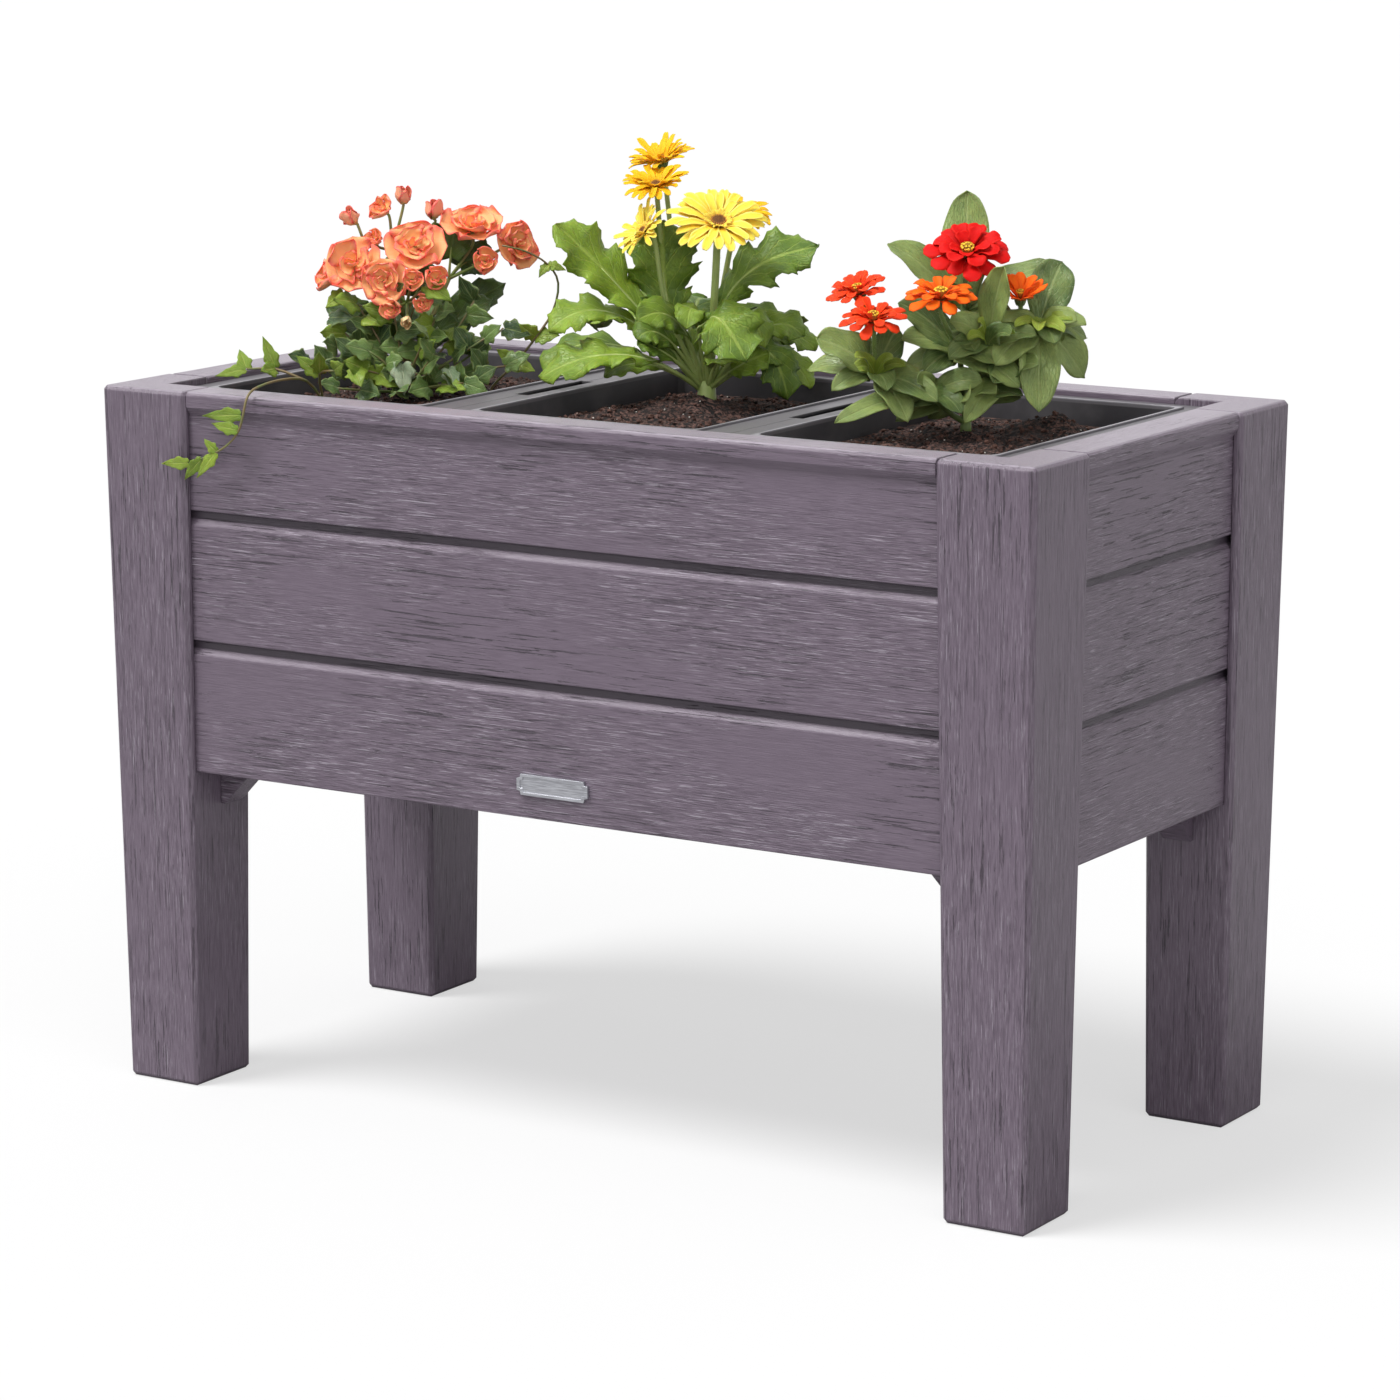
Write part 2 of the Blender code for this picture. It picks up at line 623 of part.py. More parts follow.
def whorl(axis, centre, count, phase, profile, widths, look, size=1.0):
    """One layer of petals round a shared middle. The profile is (distance out, height) at the
    petals' roots, then at each step to their tips, and the widths are half widths at the steps."""
    first, second = frame_on(axis)

    def put(angle, far, height, aside):
        angle += 2 * math.pi * phase / count
        out = first * math.cos(angle) + second * math.sin(angle)
        across = second * math.cos(angle) - first * math.sin(angle)
        return centre + (out * far + axis * height + across * aside) * size * MM

    bm = bmesh.new()
    bmesh.ops.create_circle(bm, cap_ends=True, segments=count, radius=1)
    places = {vert: (math.atan2(vert.co.y, vert.co.x), *profile[0], 0) for vert in bm.verts}
    for index, root in enumerate(bm.edges[:]):
        middle = (root.verts[0].co + root.verts[1].co) / 2
        angle = math.atan2(middle.y, middle.x)
        wobble = 1 + 0.06 * math.sin(5.1 * index + 3 * phase)
        sides = {vert: math.copysign(1, math.sin(places[vert][0] - angle)) for vert in root.verts}
        edge = root
        for (far, height), half in zip(profile[1:], widths):
            made = bmesh.ops.extrude_edge_only(bm, edges=[edge])["geom"]
            edge = next(e for e in made if isinstance(e, bmesh.types.BMEdge))
            sides = {vert: next(sides[e.other_vert(vert)] for e in vert.link_edges
                                if e.other_vert(vert) in sides) for vert in edge.verts}
            for vert, side in sides.items():
                places[vert] = (angle, far * wobble, height * wobble, side * half)
    for vert, place in places.items():
        vert.co = put(*place)
    bmesh.ops.triangulate(bm, faces=bm.faces[:])
    thick = max(PETAL_THIN, PETAL_THICK * size)
    bmesh.ops.solidify(bm, geom=bm.faces[:], thickness=thick)
    return add_object("whorl", mesh_from(bm, "whorl"), look)


# The begonia: rosettes, cups and buds on thin stalks above dark rounded leaves

BEGONIA_LEAF = ((0.0, 0.0, 0), (0.30, 0.12, 0), (0.46, 0.95, -0.25), (0.80, 0.85, 0),
                (1.0, 0.0, 0))

# name, place, facing, size in millimetres, kind
BEGONIA_BLOOMS = (
    ("left", (-48, 25, 119), (-0.35, 0.85, 0.35), 42, "rosette"),
    ("left_low", (-71, 8, 106), (-0.85, 0.45, 0.25), 30, "cup"),
    ("centre", (6, 20, 136), (0.10, 0.80, 0.60), 42, "rosette"),
    ("centre_low", (-21, 43, 107), (-0.15, 0.95, 0.25), 34, "rosette"),
    ("roll_middle", (5, 50, 108), (0.05, 0.95, 0.30), 19, "cup"),
    ("roll_right", (25, 46, 108), (0.25, 0.90, 0.30), 19, "cup"),
    ("right", (56, -2, 151), (0.05, 0.45, 0.90), 46, "rosette"),
    ("right_far", (95, -4, 134), (0.65, 0.70, 0.25), 37, "rosette"),
    ("right_low", (67, 18, 121), (0.10, 0.90, 0.15), 21, "cup"),
    ("top_bud", (-6, -10, 173), (0.05, 0.25, 0.95), 18, "bud"),
    ("top_left", (-24, -4, 164), (-0.55, 0.50, 0.65), 22, "cup"),
    ("pink_bud", (-50, 5, 156), (-0.55, 0.25, 0.75), 20, "bud"),
    ("back_left", (-31, 10, 138), (-0.45, 0.60, 0.60), 20, "cup"),
    ("right_bud", (21, -10, 160), (0.10, 0.20, 0.97), 20, "bud"),
    ("low_left", (-13, 50, 83), (-0.35, 0.90, -0.10), 18, "cup"),
    ("low_right", (14, 50, 88), (0.20, 0.95, -0.05), 16, "cup"),
    ("low_bud", (0, 54, 73), (0.0, 0.80, -0.45), 12, "bud"),
)
BEGONIA_NODES = {
    "mid": (-4, 2, 70), "front": (-2, 22, 84), "left": (-26, 2, 92), "top": (-16, -10, 128),
    "right": (34, -12, 102), "crown": (0, 0, 26),
}
BEGONIA_STEMS = (("crown", "mid"), ("mid", "left"), ("mid", "top"), ("crown", "right"),
                 ("mid", "front"))
BEGONIA_CARRIED = {
    "left": "left", "left_low": "left", "centre": "mid", "centre_low": "front",
    "roll_middle": "front", "roll_right": "front", "right": "right", "right_far": "right",
    "right_low": "right", "top_bud": "top", "top_left": "top", "pink_bud": "left",
    "back_left": "top", "right_bud": "top", "low_left": "front", "low_right": "front",
    "low_bud": "front",
}
# carried at, tip, half width, facing
BEGONIA_LEAVES = (
    ("right", (40, -24, 150), 20, (0.1, 0.95, 0.2)),
    ("right", (72, -24, 118), 19, (0.0, 0.85, 0.5)),
    ("crown", (74, -6, 84), 20, (0.1, 0.6, 0.8)),
    ("crown", (84, -34, 96), 18, (0.2, 0.6, 0.7)),
    ("crown", (-76, -14, 76), 21, (0.0, 0.6, 0.8)),
    ("crown", (-80, -26, 48), 19, (-0.1, 0.5, 0.85)),
    ("crown", (-30, -60, 80), 20, (-0.1, -0.3, 0.95)),
    ("crown", (30, -66, 74), 20, (0.1, -0.3, 0.95)),
    ("mid", (-30, -38, 112), 17, (-0.2, 0.3, 0.9)),
    ("mid", (24, -10, 112), 18, (0.3, 0.7, 0.6)),
    ("crown", (-48, 18, 70), 17, (-0.3, 0.8, 0.5)),
    ("crown", (44, 14, 66), 17, (0.3, 0.8, 0.5)),
)


def make_begonia_bloom(name, place, facing, size, kind):
    centre, axis = spot(BEGONIA_FOOT, place), aim(facing)
    scale = size / 40
    tall = 7 * scale if kind == "bud" else 2 * scale
    pieces = [turned(axis, centre, [(-9 * scale, 1.6 * scale), (tall, 2.2 * scale)], 4, CORAL)]

    def ring(count, phase, profile, widths):
        pieces.append(whorl(axis, centre, count, phase, profile, widths, CORAL, scale))
    if kind == "rosette":
        ring(5, 0.1, ((4.5, -5), (15, -1), (20.5, 1)), (10.2, 5.6))
        ring(4, 0.5, ((4, -2.8), (11, 4), (13.5, 9.5)), (9.4, 5.2))
        ring(3, 0.2, ((3.6, -0.6), (5.5, 10)), (5.2,))
    elif kind == "cup":
        ring(4, 0.1, ((4, -5), (13.5, 1), (17.5, 10)), (12.0, 7.0))
        ring(3, 0.4, ((3.8, -2), (7.5, 12)), (7.6,))
    else:
        ring(4, 0.1, ((4, -6), (11.5, 5), (5.5, 19)), (10.2, 3.6))
    return fuse("begonia_bloom_" + name, pieces, CORAL)


def make_begonia_greens():
    nodes = {name: spot(BEGONIA_FOOT, place) for name, place in BEGONIA_NODES.items()}
    pieces = [stem([root_below(BEGONIA_FOOT), nodes["crown"]], 0.0045, 0.0036)]
    for low, high in BEGONIA_STEMS:
        pieces.append(stem([nodes[low], nodes[high]], 0.0026, 0.0020, sides=0))
    for name, place, facing, size, _ in BEGONIA_BLOOMS:
        start = nodes[BEGONIA_CARRIED[name]]
        axis = aim(facing)
        end = spot(BEGONIA_FOOT, place) - axis * (9 * size / 40 * MM + GAP)
        before = end - axis * 0.010 * size / 40
        pieces.append(stem([start, before, end], 0.0014, 0.0012, sides=0))
    for carried, tip, half, facing in BEGONIA_LEAVES:
        end = spot(BEGONIA_FOOT, tip)
        start = nodes[carried] + (end - nodes[carried]).normalized() * LEAF_START
        middle = (start + end) / 2 + UP * 0.008
        pieces.append(blade(bend(start, middle, end), rows_of(BEGONIA_LEAF, half), BEGONIA_GREEN,
                            face=aim(facing), fold=0.18, ripple=0.05))
    return fuse("begonia_leaves", pieces, BEGONIA_GREEN)


# The ivy round the begonia's foot, with a trail over the front rim and a shoot on the right

IVY_LEAF = ((0.0, 0.0, 0), (0.36, 1.0, -0.25), (0.60, 0.42, 0), (1.0, 0.0, 0))
IVY_ROOT = (-6, 34, 0)
IVY_ROOM = 0.0135
IVY_VINES = (
    ((-40, 32, 20), (-94, 30, 34), 5), ((-30, 42, 30), (-66, 40, 48), 4),
    ((-14, 50, 28), (-34, 58, 46), 3), ((10, 52, 24), (24, 60, 44), 3),
    ((26, 44, 12), (64, 46, 20), 4), ((42, 34, 22), (90, 36, 30), 4),
    ((36, 38, 34), (70, 40, 56), 4), ((0, 56, 10), (-10, 80, 12), 2),
    ((-34, 52, 10), (-62, 66, 14), 3),
)


def ivy_leaf(root, tip, half, facing):
    middle = (root + tip) / 2 + facing * 0.0015
    return blade(bend(root, middle, tip), rows_of(IVY_LEAF, half), IVY_GREEN, face=facing,
                 fold=0.16)


def make_ivy_bush():
    """Leaves on both sides of each vine, turned at random until each has room of its own."""
    rule = random.Random(6)
    root = spot(BEGONIA_FOOT, IVY_ROOT)
    pieces = [stem([root_below(root), root + UP * 0.012], 0.0042, 0.0036, sides=0)]
    taken = []
    for middle, end, leaves in IVY_VINES:
        at, heading = bend(root + UP * 0.006, spot(BEGONIA_FOOT, middle),
                           spot(BEGONIA_FOOT, end))
        pieces.append(stem([at(k / 3) for k in range(4)], 0.0016, 0.0012, sides=0))
        for index in range(leaves):
            share = 0.34 + 0.62 * index / max(1, leaves - 1)
            side = 1 if index % 2 else -1
            for _ in range(40):
                out = heading(share) * 0.4 + UP * rule.uniform(-0.1, 0.7)
                out += NEAR * rule.uniform(0.0, 0.6) + RIGHT * side * rule.uniform(0.2, 1.0)
                length = rule.uniform(0.020, 0.026)
                tip = at(share) + out.normalized() * length
                core = at(share) * 0.4 + tip * 0.6
                if all((core - other).length > IVY_ROOM for other in taken):
                    break
            taken.append(core)
            facing = (NEAR * 0.75 + UP * rule.uniform(0.3, 0.9)
                      + RIGHT * rule.uniform(-0.3, 0.3)).normalized()
            pieces.append(ivy_leaf(at(share), tip, 450 * length, facing))
    return fuse("ivy_bush", pieces, IVY_GREEN)


# The trail lies over the rim and hangs before the boards: points in metres on the bed
TRAIL = (
    ((-0.300, -0.122, ROOT_END), (-0.300, -0.122, 0.606), (-0.301, -0.145, 0.629),
     (-0.301, -0.180, 0.634), (-0.300, -0.215, 0.632), (-0.299, -0.232, 0.626),
     (-0.301, -0.2365, 0.610), (-0.306, -0.2365, 0.596), (-0.317, -0.2365, 0.584),
     (-0.330, -0.2360, 0.576), (-0.346, -0.2360, 0.569), (-0.360, -0.2355, 0.564)),
    ((-0.301, -0.145, 0.629), (-0.326, -0.156, 0.639), (-0.352, -0.163, 0.638)),
    ((-0.300, -0.122, 0.606), (-0.286, -0.146, 0.636), (-0.262, -0.158, 0.642)),
)
# which stem, which of its points, tip in metres, half width in millimetres
TRAIL_LEAVES = (
    (0, 6, (-0.345, -0.2355, 0.606), 7), (0, 7, (-0.332, -0.2400, 0.601), 6),
    (0, 9, (-0.344, -0.2355, 0.586), 5), (0, 9, (-0.350, -0.2390, 0.552), 6),
    (0, 11, (-0.391, -0.2350, 0.561), 6), (0, 10, (-0.366, -0.2355, 0.549), 6),
    (1, 1, (-0.338, -0.158, 0.667), 7), (1, 2, (-0.366, -0.155, 0.653), 7),
    (1, 2, (-0.374, -0.180, 0.632), 6), (1, 1, (-0.324, -0.180, 0.640), 8),
    (2, 1, (-0.304, -0.156, 0.652), 8), (2, 1, (-0.276, -0.160, 0.658), 8),
    (2, 2, (-0.246, -0.166, 0.650), 8),
)
SHOOT = ((73, 18, 2), (73, 18, 8), (94, 20, 30), (113, 22, 54), (128, 22, 77),
         (133, 22, 102), (124, 25, 119), (105, 30, 131), (84, 36, 137))
# which point of the shoot, tip, half width
SHOOT_LEAVES = (
    (6, (140, 28, 114), 5), (6, (116, 30, 108), 5), (3, (98, 28, 66), 8), (3, (134, 26, 56), 9),
    (2, (78, 30, 44), 8), (2, (112, 28, 24), 8),
)


def make_ivy_trail():
    stems = [[Vector(p) for p in points] for points in TRAIL]
    pieces = [stem(points, 0.0014, 0.0012, sides=0) for points in stems]
    for which, index, tip, half in TRAIL_LEAVES:
        hangs = tip[1] < -0.2
        facing = Vector((0.05, -1, 0.1)) if hangs else (NEAR + UP * 0.4).normalized()
        pieces.append(ivy_leaf(stems[which][index], Vector(tip), half, facing))
    return fuse("ivy_trail", pieces, IVY_GREEN)


def make_ivy_shoot():
    points = [spot(BEGONIA_FOOT, place) for place in SHOOT]
    points[0] = root_below(points[0])
    pieces = [stem(points, 0.0014, 0.0010, sides=0)]
    for index, tip, half in SHOOT_LEAVES:
        pieces.append(ivy_leaf(points[index], spot(BEGONIA_FOOT, tip), half, aim((0, 0.9, 0.45))))
    return fuse("ivy_shoot", pieces, IVY_GREEN)


# The gerbera: lobed leaves from one crown and a bare stalk under each bloom

GERBERA_LEAF = ((0.0, 0.0, 0), (0.32, 0.10, 0), (0.44, 0.60, 0), (0.52, 0.42, 0),
                (0.66, 1.0, 0.12), (0.75, 0.66, 0), (0.89, 0.86, 0.12), (1.0, 0.0, 0))
GERBERA_SMALL_LEAF = ((0.0, 0.0, 0), (0.34, 0.10, 0), (0.52, 0.80, 0), (0.82, 0.95, 0.10),
                      (1.0, 0.0, 0))
GERBERA_SMALL = 20
# middle, tip, half width, facing
GERBERA_LEAVES = (
    ((-66, 2, 78), (-131, 10, 145), 30, (0.35, 0.75, 0.55)),
    ((22, 10, 88), (97, 0, 124), 29, (-0.25, 0.80, 0.50)),
    ((-33, -8, 72), (-37, -16, 146), 34, (0.1, 1.0, 0.1)),
    ((-78, 8, 66), (-137, 20, 53), 22, (0.0, 0.45, 0.90)),
    ((-90, -14, 38), (-143, -10, 13), 20, (0.0, 0.45, 0.90)),
    ((-74, 32, 34), (-144, 34, 14), 26, (0.0, 0.55, 0.80)),
    ((4, 46, 68), (34, 80, 34), 32, (0.05, 0.80, 0.60)),
    ((-26, 26, 62), (-60, 50, 66), 17, (0.2, 0.60, 0.75)),
    ((34, -10, 62), (67, -20, 54), 13, (0.0, 0.60, 0.80)),
    ((56, -30, 42), (96, -34, 30), 17, (0.0, 0.55, 0.85)),
    ((46, 16, 38), (70, 22, -6), 22, (0.35, 0.80, 0.50)),
    ((60, -8, 26), (90, -2, 0), 16, (0.35, 0.60, 0.70)),
    ((28, 30, 24), (54, 36, 36), 18, (-0.2, 0.75, 0.60)),
    ((-36, 20, 34), (-60, 30, 42), 12, (0.0, 0.60, 0.80)),
    ((-10, -50, 60), (0, -100, 66), 27, (0.0, -0.40, 0.90)),
    ((46, -50, 52), (84, -80, 40), 24, (0.2, -0.30, 0.90)),
    ((-58, -48, 54), (-98, -80, 44), 24, (-0.2, -0.30, 0.90)),
)
# name, place, facing, size, petal colour, stalk's middle
GERBERA_BLOOMS = (
    ("front", (10, 40, 150), (0.05, 0.58, 0.81), 84, YELLOW, (6, 22, 74)),
    ("behind", (27, -30, 151), (0.20, 0.30, 0.93), 62, GOLD, (12, -18, 74)),
    ("top", (-40, -47, 195), (-0.22, 0.20, 0.95), 57, GOLD, (-26, -50, 96)),
    ("second", (-44, -4, 178), (-0.08, 0.36, 0.93), 58, GOLD, (-34, -18, 86)),
    ("side", (-55, 20, 140), (-0.70, 0.40, 0.58), 52, YELLOW, (-34, 16, 70)),
)
GERBERA_HUB = 8.0


def make_gerbera_bloom(name, place, facing, size, look):
    centre, axis = spot(GERBERA_FOOT, place), aim(facing)
    scale = size / 84
    hub = [(-6 * scale, 0.5 * GERBERA_HUB * scale), (-0.3, 0.75 * GERBERA_HUB * scale)]
    pieces = [turned(axis, centre, hub, 5, look)]
    outer, inner = (15, 8) if size > 80 else (12, 7)
    wide = 31
    pieces.append(whorl(axis, centre, outer, 0.0, ((GERBERA_HUB, -4), (wide, 0), (41, -1)),
                        (wide * math.sin(math.pi / outer) * 0.96, 3.4), look, scale))
    pieces.append(whorl(axis, centre, inner, 0.5, ((GERBERA_HUB, -2), (27, 8)), (4.6,), look, scale))
    petals = fuse(f"gerbera_{name}_petals", pieces, look)
    top = centre + axis * GAP
    disc = turned(axis, top, [(0, 6.6 * scale), (2.2 * scale, 6.2 * scale),
                              (3.2 * scale, 2.4 * scale)], 8, FLORETS)
    disc.name = f"gerbera_{name}_disc"
    return petals, disc


def make_gerbera_greens():
    foot = GERBERA_FOOT
    pieces = [stem([root_below(foot), foot + UP * 0.002, foot + UP * 0.009], 0.011, 0.008)]
    for index, (middle, tip, half, facing) in enumerate(GERBERA_LEAVES):
        start = spot(foot, (0.05 * tip[0], 0.05 * tip[1], 1))
        line = bend(start, spot(foot, middle), spot(foot, tip))
        shape = GERBERA_LEAF if half > GERBERA_SMALL else GERBERA_SMALL_LEAF
        pieces.append(blade(line, rows_of(shape, half), GERBERA_GREEN, face=aim(facing),
                            fold=0.14, ripple=0.05 if index % 2 else -0.05,
                            thick=0.0012))
    for _, place, facing, size, _, middle in GERBERA_BLOOMS:
        scale = size / 84
        axis = aim(facing)
        under = spot(foot, place) - axis * (6 * scale * MM + GAP)
        pieces.append(turned(axis, under, [(-7 * scale, 3 * scale), (0, 6.5 * scale)], 6,
                             GERBERA_GREEN))
        before = under - axis * 0.010
        at, _ = bend(spot(foot, (0.05 * place[0], 0.05 * place[1], 1)), spot(foot, middle), before)
        points = [at(0), at(0.5), before, under - axis * 0.003]
        pieces.append(stem(points, 0.0036 * scale, 0.0032 * scale, sides=0))
    return fuse("gerbera_leaves", pieces, GERBERA_GREEN)


# The zinnia: paired oval leaves on branching stems, and layered blooms

ZINNIA_LEAF = ((0.0, 0.0, 0), (0.32, 0.94, 0), (0.68, 0.84, 0), (1.0, 0.0, 0))
ZINNIA_NODES = {
    "foot": (0, 0, 4), "heart": (-6, 6, 62), "left": (-77, 25, 46), "right": (60, 5, 84),
    "back": (0, -18, 96), "bough": (16, 22, 72), "low": (-30, 24, 30), "low_right": (30, 12, 40),
}
ZINNIA_STEMS = (("foot", "heart"), ("foot", "low"), ("low", "left"), ("foot", "low_right"),
                ("low_right", "right"), ("heart", "back"), ("heart", "bough"))
# carried at, tip, half width, facing
ZINNIA_LEAVES = (
    ("back", (2, -44, 194), 21, (0.0, 0.95, 0.2)),
    ("back", (-66, -22, 152), 17, (0.25, 0.65, 0.7)),
    ("back", (72, -28, 134), 15, (0.0, 0.55, 0.8)),
    ("right", (80, -12, 138), 19, (-0.25, 0.90, 0.2)),
    ("right", (100, -8, 40), 18, (0.30, 0.75, 0.6)),
    ("right", (58, 42, 18), 18, (0.0, 0.85, 0.5)),
    ("right", (22, 34, 56), 15, (-0.1, 0.75, 0.6)),
    ("right", (90, 22, 92), 10, (0.0, 0.60, 0.8)),
    ("right", (102, -22, 72), 11, (0.1, 0.60, 0.7)),
    ("bough", (28, 44, 140), 14, (-0.45, 0.85, 0.2)),
    ("left", (-127, 20, 76), 20, (0.1, 0.75, 0.65)),
    ("left", (-27, 57, 29), 13, (0.0, 0.65, 0.75)),
    ("left", (-51, 52, 11), 14, (0.1, 0.75, 0.65)),
    ("low", (-112, 52, 10), 10, (0.0, 0.55, 0.8)),
    ("left", (-134, 0, 48), 13, (-0.1, 0.55, 0.8)),
    ("left", (-58, 8, 84), 14, (0.0, 0.95, 0.2)),
    ("heart", (4, 42, 70), 11, (-0.1, 0.65, 0.75)),
    ("heart", (-56, 26, 76), 13, (0.1, 0.60, 0.8)),
    ("heart", (-58, 10, 106), 14, (0.1, 0.90, 0.4)),
    ("bough", (-16, 30, 92), 12, (0.0, 0.80, 0.6)),
    ("heart", (42, 38, 38), 15, (0.1, 0.75, 0.65)),
    ("low_right", (-4, 50, 10), 11, (0.0, 0.80, 0.6)),
    ("heart", (-40, -50, 70), 16, (-0.2, -0.30, 0.9)),
    ("heart", (24, -58, 76), 16, (0.2, -0.30, 0.9)),
    ("right", (66, -50, 66), 15, (0.1, -0.30, 0.9)),
    ("low", (-72, -34, 52), 14, (-0.1, -0.20, 0.95)),
)
# name, place, facing, size, petal colour, carried at, how far the petals rise
ZINNIA_BLOOMS = (
    ("red", (-1, 10, 149), (0.0, 0.55, 0.84), 69, RED, "heart", 0.0),
    ("orange", (-25, 58, 118), (-0.05, 0.28, 0.95), 64, ORANGE, "heart", 0.0),
    ("scarlet", (-80, 42, 97), (-0.05, 0.36, 0.93), 56, ORANGE, "left", 0.0),
    ("scarlet_back", (-92, 6, 116), (-0.30, 0.34, 0.89), 54, ORANGE, "left", 0.1),
    ("cup", (44, 9, 112), (0.0, 0.34, 0.94), 48, ORANGE, "low_right", 0.55),
)
ZINNIA_HUB = 5.5


def make_zinnia_bloom(name, place, facing, size, look, rise):
    centre, axis = spot(ZINNIA_FOOT, place), aim(facing)
    scale = size / 66
    hub = [(-7 * scale, 3.0 * scale), (-0.3, 4.2 * scale)]
    pieces = [turned(axis, centre, hub, 5, look)]
    tip = 32 * (1 - 0.35 * rise)
    wide = 25 - 5 * rise
    outer, inner = 10, 7
    pieces.append(whorl(axis, centre, outer, 0.0,
                        ((ZINNIA_HUB, -4.5), (wide, -2 + 12 * rise), (tip, -4 + 30 * rise)),
                        (wide * math.sin(math.pi / outer) * 0.95, 4.8), look, scale))
    pieces.append(whorl(axis, centre, inner, 0.5,
                        ((ZINNIA_HUB, -2.2), (21 - 4 * rise, 4 + 14 * rise)), (6.2,), look,
                        scale))
    petals = fuse(f"zinnia_{name}_petals", pieces, look)
    crown = turned(axis, centre + axis * GAP,
                   [(0, 4.4 * scale), (3.4 * scale, 5.0 * scale), (6.5 * scale, 1.6 * scale)], 8,
                   FLORETS)
    crown.name = f"zinnia_{name}_centre"
    return petals, crown


def make_zinnia_greens():
    foot = ZINNIA_FOOT
    nodes = {name: spot(foot, place) for name, place in ZINNIA_NODES.items()}
    pieces = [stem([root_below(foot), nodes["foot"] + UP * 0.004], 0.0052, 0.0046)]
    for low, high in ZINNIA_STEMS:
        at, heading = bend(nodes[low], (nodes[low] + nodes[high]) / 2 - UP * 0.003, nodes[high])
        beyond = nodes[high] + heading(1) * 0.004
        pieces.append(stem([at(0), at(0.5), beyond], 0.0028, 0.0024, sides=0))
    for _, place, facing, size, _, carried, _ in ZINNIA_BLOOMS:
        scale = size / 66
        axis = aim(facing)
        under = spot(foot, place) - axis * (7 * scale * MM + GAP)
        pieces.append(turned(axis, under, [(-6 * scale, 2.2 * scale), (0, 4.6 * scale)], 5,
                             ZINNIA_GREEN))
        before = under - axis * 0.012
        at, _ = bend(nodes[carried], (nodes[carried] + before) / 2 - NEAR * 0.004, before)
        pieces.append(stem([at(0), at(0.5), before, under - axis * 0.002], 0.0022, 0.0018, sides=0))
    for carried, tip, half, facing in ZINNIA_LEAVES:
        end = spot(foot, tip)
        start = nodes[carried] + (end - nodes[carried]).normalized() * LEAF_START
        middle = (start + end) / 2 + UP * 0.006
        pieces.append(blade(bend(start, middle, end), rows_of(ZINNIA_LEAF, half), ZINNIA_GREEN,
                            face=aim(facing), fold=0.15))
    return fuse("zinnia_leaves", pieces, ZINNIA_GREEN)


def make_bed():
    for sx, side in ((-1, "left"), (1, "right")):
        for sy, end in ((-1, "front"), (1, "back")):
            make_leg(f"leg_{end}_{side}", sx, sy)
    for name, angle, axis in (("wall_front", 0, 1), ("wall_right", math.pi / 2, 0),
                              ("wall_back", math.pi, 1), ("wall_left", -math.pi / 2, 0)):
        make_wall(name, angle, axis)
    make_floor()
    make_plaque()


def make_pots():
    feet = (BEGONIA_FOOT, GERBERA_FOOT, ZINNIA_FOOT)
    ivy = [spot(BEGONIA_FOOT, place) for place in (IVY_ROOT, SHOOT[0])]
    trail = Vector(TRAIL[0][0])
    mounds = ([(-0.300, 0.010, 0.004, 0.05)],
              [(-0.013, 0.050, 0.012, 0.035), (-0.03, -0.03, 0.010, 0.05)],
              [(0.250, 0.040, 0.006, 0.03), (0.300, 0.095, 0.016, 0.02)])
    holes = ([(*feet[0].xy, 0.0052), (*ivy[0].xy, 0.0050), (*ivy[1].xy, 0.0024),
              (*trail.xy, 0.0024)],
             [(*feet[1].xy, 0.0125)], [(*feet[2].xy, 0.0060)])
    for index, name in enumerate(("left", "middle", "right")):
        middle = (index - 1) * LINER_PITCH
        make_liner("liner_" + name, middle)
        make_soil("soil_" + name, middle, mounds[index], holes[index])


def make_plants():
    make_begonia_greens()
    for bloom in BEGONIA_BLOOMS:
        make_begonia_bloom(*bloom)
    make_ivy_bush()
    make_ivy_trail()
    make_ivy_shoot()
    make_gerbera_greens()
    for name, place, facing, size, look, _ in GERBERA_BLOOMS:
        make_gerbera_bloom(name, place, facing, size, look)
    make_zinnia_greens()
    for name, place, facing, size, look, _, rise in ZINNIA_BLOOMS:
        make_zinnia_bloom(name, place, facing, size, look, rise)


make_bed()
make_pots()
make_plants()
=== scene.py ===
# %% [markdown]
# # A planted raised bed, from its frame to the finished picture
#
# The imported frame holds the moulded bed, its liners, the soil and plain plants at their true
# sizes. This lesson keeps the bed as it is and gives it a moulded wood-grain finish. It then
# swaps each plain plant solid for a finer one that stands in the same place: leaves with veins
# and cut edges, petals that curl, florets, stalks and crumbs of potting mix.

import math
import random

import bmesh
import bpy
from mathutils import Matrix, Vector, noise


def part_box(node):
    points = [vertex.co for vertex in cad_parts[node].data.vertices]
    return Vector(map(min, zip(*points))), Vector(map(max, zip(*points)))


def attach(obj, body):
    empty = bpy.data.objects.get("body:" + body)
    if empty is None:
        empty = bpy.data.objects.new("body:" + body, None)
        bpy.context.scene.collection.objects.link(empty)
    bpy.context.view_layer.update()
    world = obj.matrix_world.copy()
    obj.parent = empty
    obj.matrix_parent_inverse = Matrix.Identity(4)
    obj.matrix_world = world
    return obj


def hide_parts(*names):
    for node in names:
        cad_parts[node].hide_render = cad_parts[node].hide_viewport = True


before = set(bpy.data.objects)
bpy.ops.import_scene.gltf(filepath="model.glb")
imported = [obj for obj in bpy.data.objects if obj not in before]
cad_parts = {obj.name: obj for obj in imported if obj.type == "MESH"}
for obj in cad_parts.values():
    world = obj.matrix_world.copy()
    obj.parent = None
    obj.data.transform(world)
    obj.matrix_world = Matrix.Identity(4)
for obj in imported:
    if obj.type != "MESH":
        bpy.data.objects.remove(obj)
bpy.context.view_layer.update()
MM = 0.001
UP = Vector((0, 0, 1))
